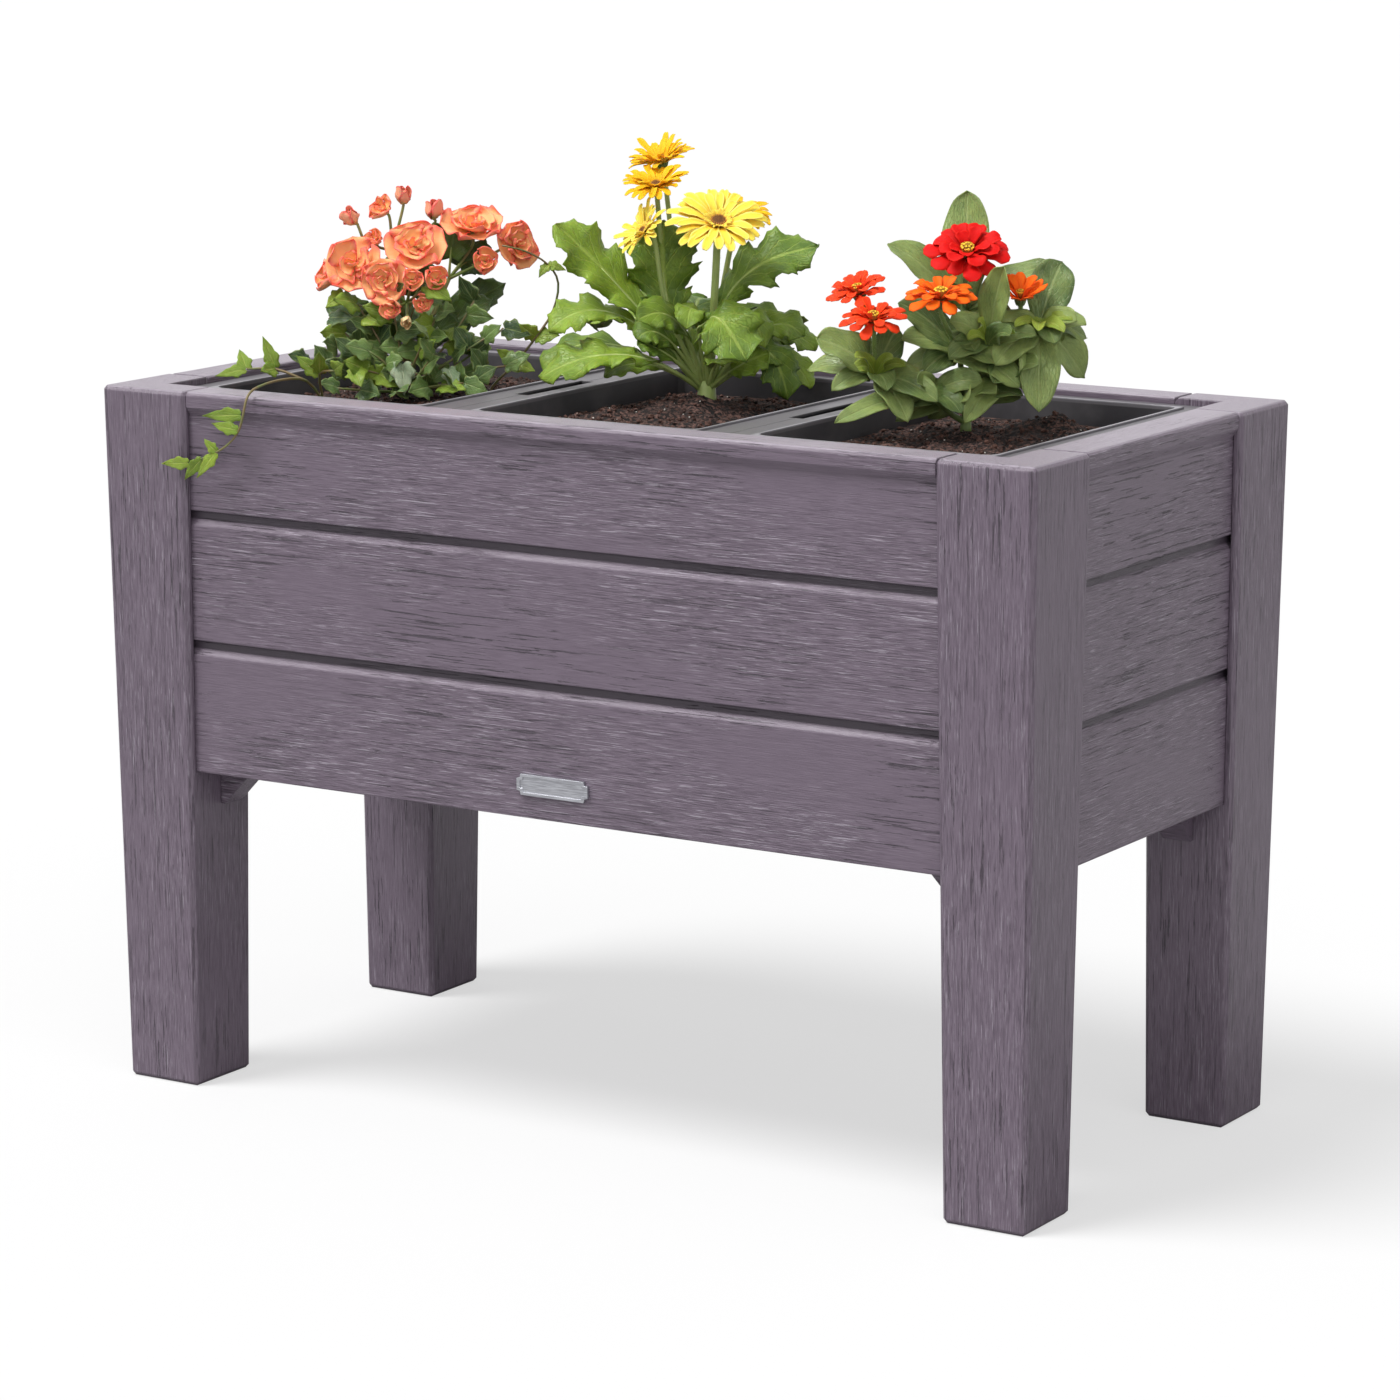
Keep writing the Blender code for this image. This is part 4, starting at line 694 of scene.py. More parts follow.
# %% Begonia blooms
# name, place, facing, size, kind, the joint that carries it
BEGONIA_BLOOMS = (
    ("left", (-48, 25, 119), (-0.35, 0.85, 0.35), 42, "rosette", "left"),
    ("left_low", (-71, 8, 106), (-0.85, 0.45, 0.25), 30, "cup", "left"),
    ("centre", (6, 20, 136), (0.1, 0.8, 0.6), 42, "rosette", "mid"),
    ("centre_low", (-21, 43, 107), (-0.15, 0.95, 0.25), 34, "rosette", "front"),
    ("roll_middle", (5, 50, 108), (0.05, 0.95, 0.3), 19, "cup", "front"),
    ("roll_right", (25, 46, 108), (0.25, 0.9, 0.3), 19, "cup", "front"),
    ("right", (56, -2, 151), (0.05, 0.45, 0.9), 46, "rosette", "right"),
    ("right_far", (95, -4, 134), (0.65, 0.7, 0.25), 37, "rosette", "right"),
    ("right_low", (67, 18, 121), (0.1, 0.9, 0.15), 21, "cup", "right"),
    ("top_bud", (-6, -10, 173), (0.05, 0.25, 0.95), 18, "bud", "top"),
    ("top_left", (-24, -4, 164), (-0.55, 0.5, 0.65), 22, "cup", "top"),
    ("pink_bud", (-50, 5, 156), (-0.55, 0.25, 0.75), 20, "bud", "left"),
    ("back_left", (-31, 10, 138), (-0.45, 0.6, 0.6), 20, "cup", "top"),
    ("right_bud", (21, -10, 160), (0.1, 0.2, 0.97), 20, "bud", "top"),
    ("low_left", (-13, 50, 83), (-0.35, 0.9, -0.1), 18, "cup", "front"),
    ("low_right", (14, 50, 88), (0.2, 0.95, -0.05), 16, "cup", "front"),
    ("low_bud", (0, 54, 73), (0.0, 0.8, -0.45), 12, "bud", "front"),
)
BEGONIA_FULL = 40
BEGONIA_SMALL = 28
BEGONIA_OPENED = 1.16
CORAL_FRONT = petal_skin("coral_petal", (1.0, 0.62, 0.24), (1.0, 0.42, 0.185), (1.0, 0.125, 0.12),
    (1.0, 0.58, 0.36), base_reach=0.55, edge_share=0.85)
CORAL_BACK = petal_skin("coral_petal_back", (0.98, 0.58, 0.26), (0.99, 0.41, 0.22),
    (1.0, 0.15, 0.14), (1.0, 0.56, 0.38), edge_share=0.8)
BUD_FRONT = petal_skin("coral_bud", (0.62, 0.6, 0.2), (0.97, 0.33, 0.22), (0.93, 0.12, 0.13),
    (1.0, 0.55, 0.45), base_reach=0.45, edge_share=0.85)
FADED_FRONT = petal_skin("faded_bud", (0.62, 0.5, 0.2), (0.84, 0.6, 0.32), (0.6, 0.26, 0.1),
    (0.92, 0.74, 0.5))
# each ring: petals, phase, run, half width, tone, cup, twist
BEGONIA_RINGS = {
    "rosette": (
        (4, 0.1, ((1.5, -5.5), (12.5, -1.5), (21.2, 1.5)), 15.4, 0.1, 0.22, 0.0),
        (3, 0.5, ((1.5, -3.5), (9.5, 1.5), (15.0, 6.5)), 12.2, 0.2, 0.3, 0.0),
        (3, 0.2, ((1.5, -2.0), (6.0, 2.5), (8.4, 7.5)), 7.8, 0.6, 0.4, 0.3),
        (2, 0.6, ((0.5, -1.0), (2.2, 2.5), (2.0, 7.0)), 4.0, 1.0, 0.5, 0.5)),
    "cup": (
        (3, 0.1, ((1.5, -5.5), (12.0, 0.0), (16.0, 10.0)), 14.0, 0.15, 0.34, 0.0),
        (2, 0.4, ((1.5, -3.0), (7.5, 4.0), (7.8, 12.5)), 10.4, 0.4, 0.52, 0.3),
        (1, 0.1, ((0.8, 0.0), (3.0, 5.0), (1.6, 10.5)), 5.6, 0.9, 0.7, 0.5)),
    "bud": (
        (4, 0.1, ((1.5, -6.5), (10.5, 4.0), (5.5, 18.5)), 9.6, 0.25, 0.34, 0.3),
        (3, 0.5, ((1.0, -3.5), (6.5, 5.0), (2.5, 17.5)), 7.0, 0.6, 0.48, 0.4)),
}

for name, place, facing, size, kind, _ in BEGONIA_BLOOMS:
    opened = BEGONIA_OPENED if size > BEGONIA_SMALL else 1.12 * BEGONIA_OPENED
    scale = opened * size / BEGONIA_FULL
    skins = (CORAL_FRONT, CORAL_BACK)
    if kind == "bud":
        skins = [FADED_FRONT if name == "low_bud" else BUD_FRONT] * 2
    growth = Growth("begonia_petals_" + name, "begonia_bloom_" + name, "coral_petals", *skins,
        thick=0.0006)
    for count, phase, run, half, tone, cup, twist in BEGONIA_RINGS[kind]:
        ring(growth, spot(BEGONIA_FOOT, place), aim(facing), count, phase, run, half, ROUND_PETAL,
            scale, cup=cup, wave=0.16, tone=tone, loose=0.14, twist=twist, tilt=3.5, columns=8)
    growth.done()

# %% Begonia leaves and stalks
BEGONIA_NODES = {
    "mid": (-4, 2, 70), "front": (-2, 22, 84), "left": (-26, 2, 92), "top": (-16, -10, 128),
    "right": (34, -12, 102), "crown": (0, 0, 26),
}
BEGONIA_STEMS = (("crown", "mid"), ("mid", "left"), ("mid", "top"), ("crown", "right"),
    ("mid", "front"))
BEGONIA_LEAVES = (
    ("right", (40, -24, 150), 20, (0.1, 0.95, 0.2)),
    ("right", (72, -24, 118), 19, (0.0, 0.85, 0.5)),
    ("crown", (74, -6, 84), 20, (0.1, 0.6, 0.8)),
    ("crown", (84, -34, 96), 18, (0.2, 0.6, 0.7)),
    ("crown", (-76, -14, 76), 21, (0.0, 0.6, 0.8)),
    ("crown", (-80, -26, 48), 19, (-0.1, 0.5, 0.85)),
    ("crown", (-30, -60, 80), 20, (-0.1, -0.3, 0.95)),
    ("crown", (30, -66, 74), 20, (0.1, -0.3, 0.95)),
    ("mid", (-30, -38, 112), 17, (-0.2, 0.3, 0.9)),
    ("mid", (24, -10, 112), 18, (0.3, 0.7, 0.6)),
    ("crown", (-48, 18, 70), 17, (-0.3, 0.8, 0.5)),
    ("crown", (44, 14, 66), 17, (0.3, 0.8, 0.5)),
)
BEGONIA_LEAF = pointed(((0.27, 0.0, 0), (0.32, 0.5, -0.36), (0.42, 0.8, -0.3), (0.5, 1.0, -0.2),
    (0.55, 0.86, -0.16), (0.66, 0.98, -0.04), (0.71, 0.8, -0.04), (0.8, 0.82, 0.08),
    (0.84, 0.6, 0), (0.91, 0.5, 0.06), (0.94, 0.3, 0), (1.0, 0.0, 0)), 2)
DEEP_GREEN = leaf_skin("begonia_leaf", (0.02, 0.052, 0.009), (0.112, 0.205, 0.022),
    (0.14, 0.225, 0.045), gloss=0.26, vein_share=0.5)
DEEP_BACK = leaf_skin("begonia_leaf_back", (0.072, 0.122, 0.032), (0.13, 0.188, 0.048),
    (0.22, 0.245, 0.095), gloss=0.5)
BEGONIA_STALK = stalk_skin("begonia_stalk", (0.23, 0.35, 0.09), (0.33, 0.21, 0.09))

foliage = Growth("begonia_foliage", "begonia_leaves", "begonia_green", DEEP_GREEN, DEEP_BACK,
    thick=0.0007)
stalks = Growth("begonia_stalks", "begonia_leaves", "begonia_green", BEGONIA_STALK)
joints = {name: spot(BEGONIA_FOOT, place) for name, place in BEGONIA_NODES.items()}
lines = [([BEGONIA_FOOT - UP * 0.012, joints["crown"]], 0.0045, 0.0036)]
for low, high in BEGONIA_STEMS:
    lines.append(([joints[low], (joints[low] + joints[high]) / 2, joints[high]], 0.0027, 0.0021))
for _, place, facing, size, _, carried in BEGONIA_BLOOMS:
    axis = aim(facing)
    end = spot(BEGONIA_FOOT, place) - axis * (6.5 * size / BEGONIA_FULL * MM)
    lines.append((through([joints[carried], end - axis * 0.013 * size / BEGONIA_FULL, end], 5),
        0.0014, 0.0012))
    add_turned(stalks, end, axis, [(-3.2, 1.4), (-1.0, 3.0), (1.6, 3.8), (2.2, 2.0)], 10, 0.5,
        size / BEGONIA_FULL)
for carried, tip, half, facing in BEGONIA_LEAVES:
    start, end = joints[carried], spot(BEGONIA_FOOT, tip)
    line = bend(start, (start + end) / 2 + UP * 0.008, end)
    leaf(foliage, line, BEGONIA_LEAF, half, aim(facing), fold=0.16, cup=0.16, wave=0.16, waves=3,
        vein=0.022)
    lines.append(stalk(line, 1.5, 0.7, stop=0.42))
add_stalks(stalks, lines)
foliage.done()
stalks.done()

# %% [markdown]
# ## Ivy
#
# Ivy fills the foot of the left pot, trails over the front rim and sends one shoot up on the
# right. Its leaves are five-lobed, grey-green with paler margins, and sit at both sides of each
# vine. The rule that turned each of the frame's leaves until it had room is repeated here with
# the same seed, so that the fine leaves stand where the plain ones do. More vines climb between
# the begonia's stalks, with some young leaves of a fresher green and two patched with cream.

# %% Ivy leaves and vines
IVY_ROOT = (-6, 34, 0)
IVY_ROOM = 0.0135
IVY_VINES = (
    ((-40, 32, 20), (-94, 30, 34), 5), ((-30, 42, 30), (-66, 40, 48), 4),
    ((-14, 50, 28), (-34, 58, 46), 3), ((10, 52, 24), (24, 60, 44), 3),
    ((26, 44, 12), (64, 46, 20), 4), ((42, 34, 22), (90, 36, 30), 4),
    ((36, 38, 34), (70, 40, 56), 4), ((0, 56, 10), (-10, 80, 12), 2),
    ((-34, 52, 10), (-62, 66, 14), 3),
)
IVY_LEAF = pointed(((0.06, 0.0, 0), (0.08, 0.36, -0.34), (0.16, 0.74, -0.42), (0.22, 0.7, -0.2),
    (0.34, 1.06, -0.14), (0.4, 0.96, -0.02), (0.48, 0.7, 0), (0.62, 0.62, 0.04), (0.8, 0.34, 0),
    (0.92, 0.12, 0), (1.0, 0.0, 0)), 2)
IVY_CLIMBERS = (
    ((-22, 30, 44), (-46, 26, 84), 5), ((-8, 38, 50), (-16, 40, 92), 4),
    ((14, 34, 48), (30, 36, 88), 5), ((30, 26, 44), (58, 20, 86), 5),
    ((-34, 18, 34), (-72, 14, 70), 4), ((42, 30, 30), (84, 22, 62), 4),
    ((4, 48, 30), (18, 54, 62), 3), ((-20, 48, 22), (-46, 58, 30), 4),
    ((22, 54, 14), (50, 62, 18), 4),
)
IVY_VEINS = {"ribs": 3, "slant": 1.0, "net": 14}
IVY_FRONT = leaf_skin("ivy_leaf", (0.023, 0.062, 0.018), (0.18, 0.292, 0.064),
    (0.325, 0.412, 0.16), gloss=0.3, **IVY_VEINS, margin=(0.245, 0.332, 0.098))
IVY_BACK = leaf_skin("ivy_leaf_back", (0.14, 0.205, 0.075), (0.2, 0.268, 0.098),
    (0.295, 0.338, 0.152), gloss=0.55, **IVY_VEINS)
FRESH_FRONT = leaf_skin("ivy_leaf_fresh", (0.155, 0.262, 0.02), (0.335, 0.455, 0.046),
    (0.465, 0.552, 0.13), gloss=0.36, **IVY_VEINS)
PATCHED_FRONT = leaf_skin("ivy_leaf_patched", (0.07, 0.17, 0.05), (0.62, 0.68, 0.48),
    (0.5, 0.58, 0.36), gloss=0.36, **IVY_VEINS)
VINE_SKIN = stalk_skin("ivy_vine", (0.2, 0.13, 0.06), (0.13, 0.19, 0.05))


def ivy_leaf(growth, root, tip, half, facing, **bends):
    middle = (root + tip) / 2 + facing * 0.0015
    leaf(growth, bend(root, middle, tip), IVY_LEAF, half, facing, fold=0.16, cup=-0.12, wave=0.1,
        waves=2, vein=0.02, **bends)


bush = Growth("ivy_bush_leaves", "ivy_bush", "ivy_green", IVY_FRONT, IVY_BACK, thick=0.0005)
young = Growth("ivy_young_leaves", "ivy_bush", "ivy_green", FRESH_FRONT, IVY_BACK, thick=0.0005)
vines = Growth("ivy_bush_vines", "ivy_bush", "ivy_green", VINE_SKIN)
rule = random.Random(6)
root = spot(BEGONIA_FOOT, IVY_ROOT)
lines = [([root - UP * 0.012, root + UP * 0.012], 0.004, 0.003)]
taken = []
for middle, end, leaves in IVY_VINES:
    at, heading = bend(root + UP * 0.006, spot(BEGONIA_FOOT, middle), spot(BEGONIA_FOOT, end))
    lines.append(stalk((at, heading), 1.4, 0.9, steps=10))
    for index in range(leaves):
        share = 0.34 + 0.62 * index / max(1, leaves - 1)
        side = 1 if index % 2 else -1
        for _ in range(40):
            out = heading(share) * 0.4 + UP * rule.uniform(-0.1, 0.7)
            out += NEAR * rule.uniform(0.0, 0.6) + RIGHT * side * rule.uniform(0.2, 1.0)
            length = rule.uniform(0.02, 0.026)
            tip = at(share) + out.normalized() * length
            core = at(share) * 0.4 + tip * 0.6
            if all((core - other).length > IVY_ROOM for other in taken):
                break
        taken.append(core)
        facing = (NEAR * 0.75 + UP * rule.uniform(0.3, 0.9) + RIGHT * rule.uniform(-0.3,
            0.3)).normalized()
        ivy_leaf(bush, at(share), tip, 450 * length, facing)
for middle, end, leaves in IVY_CLIMBERS:
    line = bend(root + UP * 0.006, spot(BEGONIA_FOOT, middle), spot(BEGONIA_FOOT, end))
    lines.append(stalk(line, 1.3, 0.8, steps=10))
    at, heading = line
    for index in range(leaves):
        share = 0.45 + 0.55 * index / max(1, leaves - 1)
        side = 1 if index % 2 else -1
        out = (heading(share) * 0.3 + UP * chance.uniform(-0.5, 0.5) + NEAR * chance.uniform(0.1,
            0.6) + RIGHT * side * chance.uniform(0.2, 1.0))
        tip = at(share) + out.normalized() * chance.uniform(0.02, 0.029)
        facing = (NEAR * 0.8 + UP * chance.uniform(0.1, 0.9) + RIGHT * chance.uniform(-0.4,
            0.4)).normalized()
        ivy_leaf(young if chance.random() < 0.28 else bush, at(share), tip,
            chance.uniform(9.5, 13), facing)
for place, tip, half in (((17, 47, 103), (40, 55, 90), 11), ((-58, 16, 92), (-74, 22, 80), 9)):
    start = spot(BEGONIA_FOOT, place)
    ivy_leaf(young, start, spot(BEGONIA_FOOT, tip), half, aim((0.2, 0.8, 0.5)))
    lines.append(stalk(bend(spot(BEGONIA_FOOT, (0, 22, 60)), (start + root) / 2 + UP * 0.03,
        start), 1.0, 0.7))
patched = Growth("ivy_patched_leaves", "ivy_bush", "ivy_green", PATCHED_FRONT, IVY_BACK,
    thick=0.0005)
for place, tip, half in (((-4, 60, 36), (-2, 68, 8), 11), ((36, 52, 30), (44, 62, 10), 9)):
    ivy_leaf(patched, spot(BEGONIA_FOOT, place), spot(BEGONIA_FOOT, tip), half,
        aim((0.1, 0.9, 0.4)))
add_stalks(vines, lines)
bush.done()
young.done()
patched.done()
vines.done()

TRAIL = (
    ((-300, -122, 590), (-300, -122, 606), (-301, -145, 629), (-301, -180, 634),
     (-300, -215, 632), (-299, -232, 626), (-301, -236.5, 610), (-306, -236.5, 596),
     (-317, -236.5, 584), (-330, -236, 576), (-346, -236, 569), (-360, -235.5, 564)),
    ((-301, -145, 629), (-326, -156, 639), (-352, -163, 638)),
    ((-300, -122, 606), (-286, -146, 636), (-262, -158, 642)),
)
TRAIL_LEAVES = (
    (0, 6, (-345, -235.5, 606), 7), (0, 7, (-332, -240, 601), 6), (0, 9, (-344, -235.5, 586), 5),
    (0, 9, (-350, -239, 552), 6), (0, 11, (-391, -235, 561), 6), (0, 10, (-366, -235.5, 549), 6),
    (1, 1, (-338, -158, 667), 7), (1, 2, (-366, -155, 653), 7), (1, 2, (-374, -180, 632), 6),
    (1, 1, (-324, -180, 640), 8), (2, 1, (-304, -156, 652), 8), (2, 1, (-276, -160, 658), 8),
    (2, 2, (-246, -166, 650), 8),
)
SHOOT = ((73, 18, -9), (73, 18, 8), (94, 20, 30), (113, 22, 54), (128, 22, 77), (133, 22, 102),
    (124, 25, 119), (105, 30, 131), (84, 36, 137))
SHOOT_LEAVES = (
    (0, 6, (140, 28, 114), 5), (0, 6, (116, 30, 108), 5), (0, 3, (98, 28, 66), 8),
    (0, 3, (134, 26, 56), 9), (0, 2, (78, 30, 44), 8), (0, 2, (112, 28, 24), 8),
)
OVER_THE_RIM = -0.2


def in_frame(millimetres):
    return Vector([number * MM for number in millimetres])


def ivy_runner(node, vine, courses, leaves, thin, found, facing_at):
    """Bare vines along their courses, with a leaf for each (course, knot, tip, half width)."""
    green = Growth(node + "_leaves", node, "ivy_green", FRESH_FRONT, IVY_BACK, thick=0.0005)
    bare = Growth(vine, node, "ivy_green", VINE_SKIN)
    knots = [[found(place) for place in course] for course in courses]
    add_stalks(bare, [(through(course, 3), 0.0013, thin) for course in knots])
    for which, index, tip, half in leaves:
        ivy_leaf(green, knots[which][index], found(tip), half, facing_at(found(tip)))
    green.done()
    bare.done()


ivy_runner("ivy_trail", "ivy_trail_vines", TRAIL, TRAIL_LEAVES, 0.0009, in_frame,
    lambda tip: Vector((0.05, -1,
    0.1)) if tip.y < OVER_THE_RIM else (NEAR + UP * 0.4).normalized())
ivy_runner("ivy_shoot", "ivy_shoot_vine", (SHOOT,), SHOOT_LEAVES, 0.0008,
    lambda place: spot(BEGONIA_FOOT, place), lambda tip: aim((0, 0.9, 0.45)))

# %% [markdown]
# ## Gerbera
#
# One bare stalk stands under each bloom. The bloom is two rings of strap petals round a ring of
# short pale florets and a dark button, which is a low turned shape with circles of beads on it.
# Its leaves are long, lobed and fresh green, and all rise from one crown. Shorter leaves, turned
# about the foot at random, fill the crown between the long ones.

# %% Gerbera blooms
GERBERA_LEAVES = (
    ((-66, 2, 78), (-131, 10, 145), 30, (0.35, 0.75, 0.55)),
    ((22, 10, 88), (97, 0, 124), 29, (-0.25, 0.8, 0.5)),
    ((-33, -8, 72), (-37, -16, 146), 34, (0.1, 1.0, 0.1)),
    ((-78, 8, 66), (-137, 20, 53), 22, (0.0, 0.45, 0.9)),
    ((-90, -14, 38), (-143, -10, 13), 20, (0.0, 0.45, 0.9)),
    ((-74, 32, 34), (-144, 34, 14), 26, (0.0, 0.55, 0.8)),
    ((4, 46, 68), (34, 80, 34), 32, (0.05, 0.8, 0.6)),
    ((-26, 26, 62), (-60, 50, 66), 17, (0.2, 0.6, 0.75)),
    ((34, -10, 62), (67, -20, 54), 13, (0.0, 0.6, 0.8)),
    ((56, -30, 42), (96, -34, 30), 17, (0.0, 0.55, 0.85)),
    ((46, 16, 38), (70, 22, -6), 22, (0.35, 0.8, 0.5)),
    ((60, -8, 26), (90, -2, 0), 16, (0.35, 0.6, 0.7)),
    ((28, 30, 24), (54, 36, 36), 18, (-0.2, 0.75, 0.6)),
    ((-36, 20, 34), (-60, 30, 42), 12, (0.0, 0.6, 0.8)),
    ((-10, -50, 60), (0, -100, 66), 27, (0.0, -0.4, 0.9)),
    ((46, -50, 52), (84, -80, 40), 24, (0.2, -0.3, 0.9)),
    ((-58, -48, 54), (-98, -80, 44), 24, (-0.2, -0.3, 0.9)),
)
YELLOW_SKINS = petal_skins(
    "yellow_petal",
    ((0.93, 0.52, 0.025), (0.97, 0.72, 0.08), (0.99, 0.82, 0.25), (0.9, 0.6, 0.05)),
    ((0.8, 0.62, 0.1), (0.9, 0.7, 0.14), (0.95, 0.76, 0.2), (0.8, 0.6, 0.12)))
GOLDEN_SKINS = petal_skins(
    "golden_petal",
    ((0.78, 0.3, 0.008), (0.9, 0.5, 0.01), (0.95, 0.6, 0.02), (0.74, 0.32, 0.008)),
    ((0.7, 0.34, 0.02), (0.84, 0.47, 0.02), (0.9, 0.56, 0.05), (0.7, 0.32, 0.02)))
GERBERA_FULL = 84
# name, place, facing, size, colour, stalk's middle, how far the petals rise
GERBERA_BLOOMS = (
    ("front", (10, 40, 150), (0.05, 0.58, 0.81), 84, "yellow", (6, 22, 74), 0),
    ("behind", (27, -30, 151), (0.2, 0.3, 0.93), 62, "golden", (12, -18, 74), 2),
    ("top", (-40, -47, 195), (-0.22, 0.2, 0.95), 57, "golden", (-26, -50, 96), 11),
    ("second", (-44, -4, 178), (-0.08, 0.36, 0.93), 58, "golden", (-34, -18, 86), 7),
    ("side", (-55, 20, 140), (-0.7, 0.4, 0.58), 52, "yellow", (-34, 16, 70), 9),
)


def button_skin(name, dark, light):
    skin = Skin(name, Roughness=0.75)
    grain = skin.speckle(skin.place(), 1200, 2, 0.5)
    skin.paint(Base_Color=skin.blend(skin.tone() * 0.8 + grain * 0.3, dark, light))
    skin.relief(grain, 0.0002, 0.6)
    return skin.material


BUTTON = button_skin("dark_button", (0.045, 0.013, 0.005), (0.8, 0.36, 0.08))
EYE = button_skin("golden_florets", (0.16, 0.025, 0.01), (0.98, 0.66, 0.04))


def beads(growth, centre, axis, millis, rings, tone):
    """Small long beads set out in circles of (count, radius, height, bead size)."""
    for count, radius, height, size in rings:
        batch, thick = new_shape(), size * millis
        for angle in around(count, 0.2):
            place = centre + outward(axis, angle) * (radius * millis) + axis * (height * millis)
            bmesh.ops.create_icosphere(
                batch, subdivisions=1, radius=1, matrix=stood(place, *frame_on(axis), axis)
                @ Matrix.Diagonal((thick, thick, thick * 1.5, 1)))
        growth.take(batch, tone + chance.uniform(-0.08, 0.08))


for name, place, facing, size, colour, _, rise in GERBERA_BLOOMS:
    centre, axis, scale = spot(GERBERA_FOOT, place), aim(facing), size / GERBERA_FULL
    skins = YELLOW_SKINS if colour == "yellow" else GOLDEN_SKINS
    growth = Growth(f"gerbera_{name}_rays", f"gerbera_{name}_petals", colour + "_petals", *skins,
        thick=0.0006)
    for count, phase, run, half, cup, tone, loose, tilt in (
            (21, 0.0, ((5, -4), (26, 1 + rise / 2), (41, -1 + rise)), 4.5, 0.3, 0.3, 0.12, 5.0),
            (13, 0.5, ((5, -3), (20, 4 + rise / 2), (34, 4 + rise)), 4.1, 0.32, 0.15, 0.18, 4.5)):
        ring(growth, centre, axis, count, phase, run, half, STRAP_PETAL, scale, cup=cup, wave=0.14,
            tone=tone, loose=loose, tilt=tilt + 0.7 * rise)
    ring(growth, centre, axis, 34, 0.3, ((5, 0), (8.5, 3.4), (11.5, 4.6)), 1.0, SPOON_PETAL, scale,
        cup=0.3, tone=0.9, loose=0.16, tilt=1.0, columns=2)
    growth.done()
    disc = Growth(f"gerbera_{name}_button", f"gerbera_{name}_disc", "florets", BUTTON)
    add_turned(disc, centre, axis, [(-3, 3.0), (-0.5, 6.8), (1.6, 6.4), (2.8, 4.0), (3.2, 0)], 20,
        0.05, scale)
    beads(disc, centre, axis, scale * MM, [(26, 6.9, 2.0, 0.62), (22, 5.9, 3.0, 0.55)], 0.85)
    beads(disc, centre, axis, scale * MM,
        [(18, 4.7, 2.6, 0.6), (13, 3.4, 3.1, 0.6), (8, 2.0, 3.3, 0.58), (3, 0.7, 3.4, 0.55)], 0.12)
    disc.done()

# %% Gerbera leaves and stalks
GERBERA_LEAF = toothed(pointed(((0.26, 0.0, 0), (0.31, 0.12, 0), (0.36, 0.34, 0.08),
    (0.39, 0.42, 0.14), (0.42, 0.26, 0), (0.46, 0.34, 0), (0.51, 0.64, 0.12), (0.54, 0.7, 0.2),
    (0.57, 0.5, 0.02), (0.61, 0.6, 0), (0.66, 0.92, 0.12), (0.69, 1.02, 0.22), (0.72, 0.78, 0.04),
    (0.76, 0.76, 0), (0.8, 0.92, 0.08), (0.83, 0.96, 0.18), (0.86, 0.72, 0.04), (0.89, 0.68, 0.02),
    (0.92, 0.7, 0.12), (0.945, 0.48, 0.06), (0.965, 0.34, 0.02), (1.0, 0.0, 0)), 2), 0.07)
GERBERA_SMALL_LEAF = toothed(rounded(((0.28, 0.0, 0), (0.36, 0.18, 0), (0.52, 0.8, 0),
    (0.68, 0.94, 0.05), (0.82, 0.92, 0.1), (0.93, 0.58, 0.06), (1.0, 0.0, 0)), 4), 0.08)
GERBERA_BROAD = 20
GERBERA_VEINS = {"ribs": 6, "slant": 0.35, "net": 22}
FRESH_GREEN = leaf_skin("gerbera_leaf", (0.056, 0.125, 0.008), (0.275, 0.41, 0.026),
    (0.36, 0.475, 0.086), gloss=0.4, **GERBERA_VEINS)
FRESH_BACK = leaf_skin("gerbera_leaf_back", (0.19, 0.262, 0.062), (0.268, 0.34, 0.096),
    (0.36, 0.408, 0.15), gloss=0.6, **GERBERA_VEINS)
GERBERA_STALK = stalk_skin("gerbera_stalk", (0.4, 0.5, 0.16), (0.3, 0.38, 0.11))
foliage = Growth("gerbera_foliage", "gerbera_leaves", "gerbera_green", FRESH_GREEN, FRESH_BACK,
    thick=0.0009)
stalks = Growth("gerbera_stalks", "gerbera_leaves", "gerbera_green", GERBERA_STALK)
lines = [([GERBERA_FOOT - UP * 0.03, GERBERA_FOOT + UP * 0.008], 0.0105, 0.0075)]
filling = []
for index in range(11):
    turn = math.radians(-170 + 31 * index + chance.uniform(-8, 8))
    side, near = math.cos(turn), -0.5 * math.sin(turn) + 0.1
    reach, high = chance.uniform(62, 96), chance.uniform(22, 74)
    filling.append(((side * reach * 0.6, near * reach * 0.6, high),
        (side * reach, near * reach, high * chance.uniform(0.5, 1.0)), chance.uniform(13, 19),
        (0.2 * side, 0.6, 0.75)))
for middle, tip, half, facing in (*GERBERA_LEAVES, *filling):
    start = spot(GERBERA_FOOT, (0.05 * tip[0], 0.05 * tip[1], 1))
    line = bend(start, spot(GERBERA_FOOT, middle), spot(GERBERA_FOOT, tip))
    outline = GERBERA_LEAF if half > GERBERA_BROAD else GERBERA_SMALL_LEAF
    leaf(foliage, line, outline, half, aim(facing), fold=0.2, cup=-0.14, wave=0.17, waves=5,
        vein=0.034)
    lines.append(stalk(line, 2.2, 0.7, steps=12, stop=0.7))
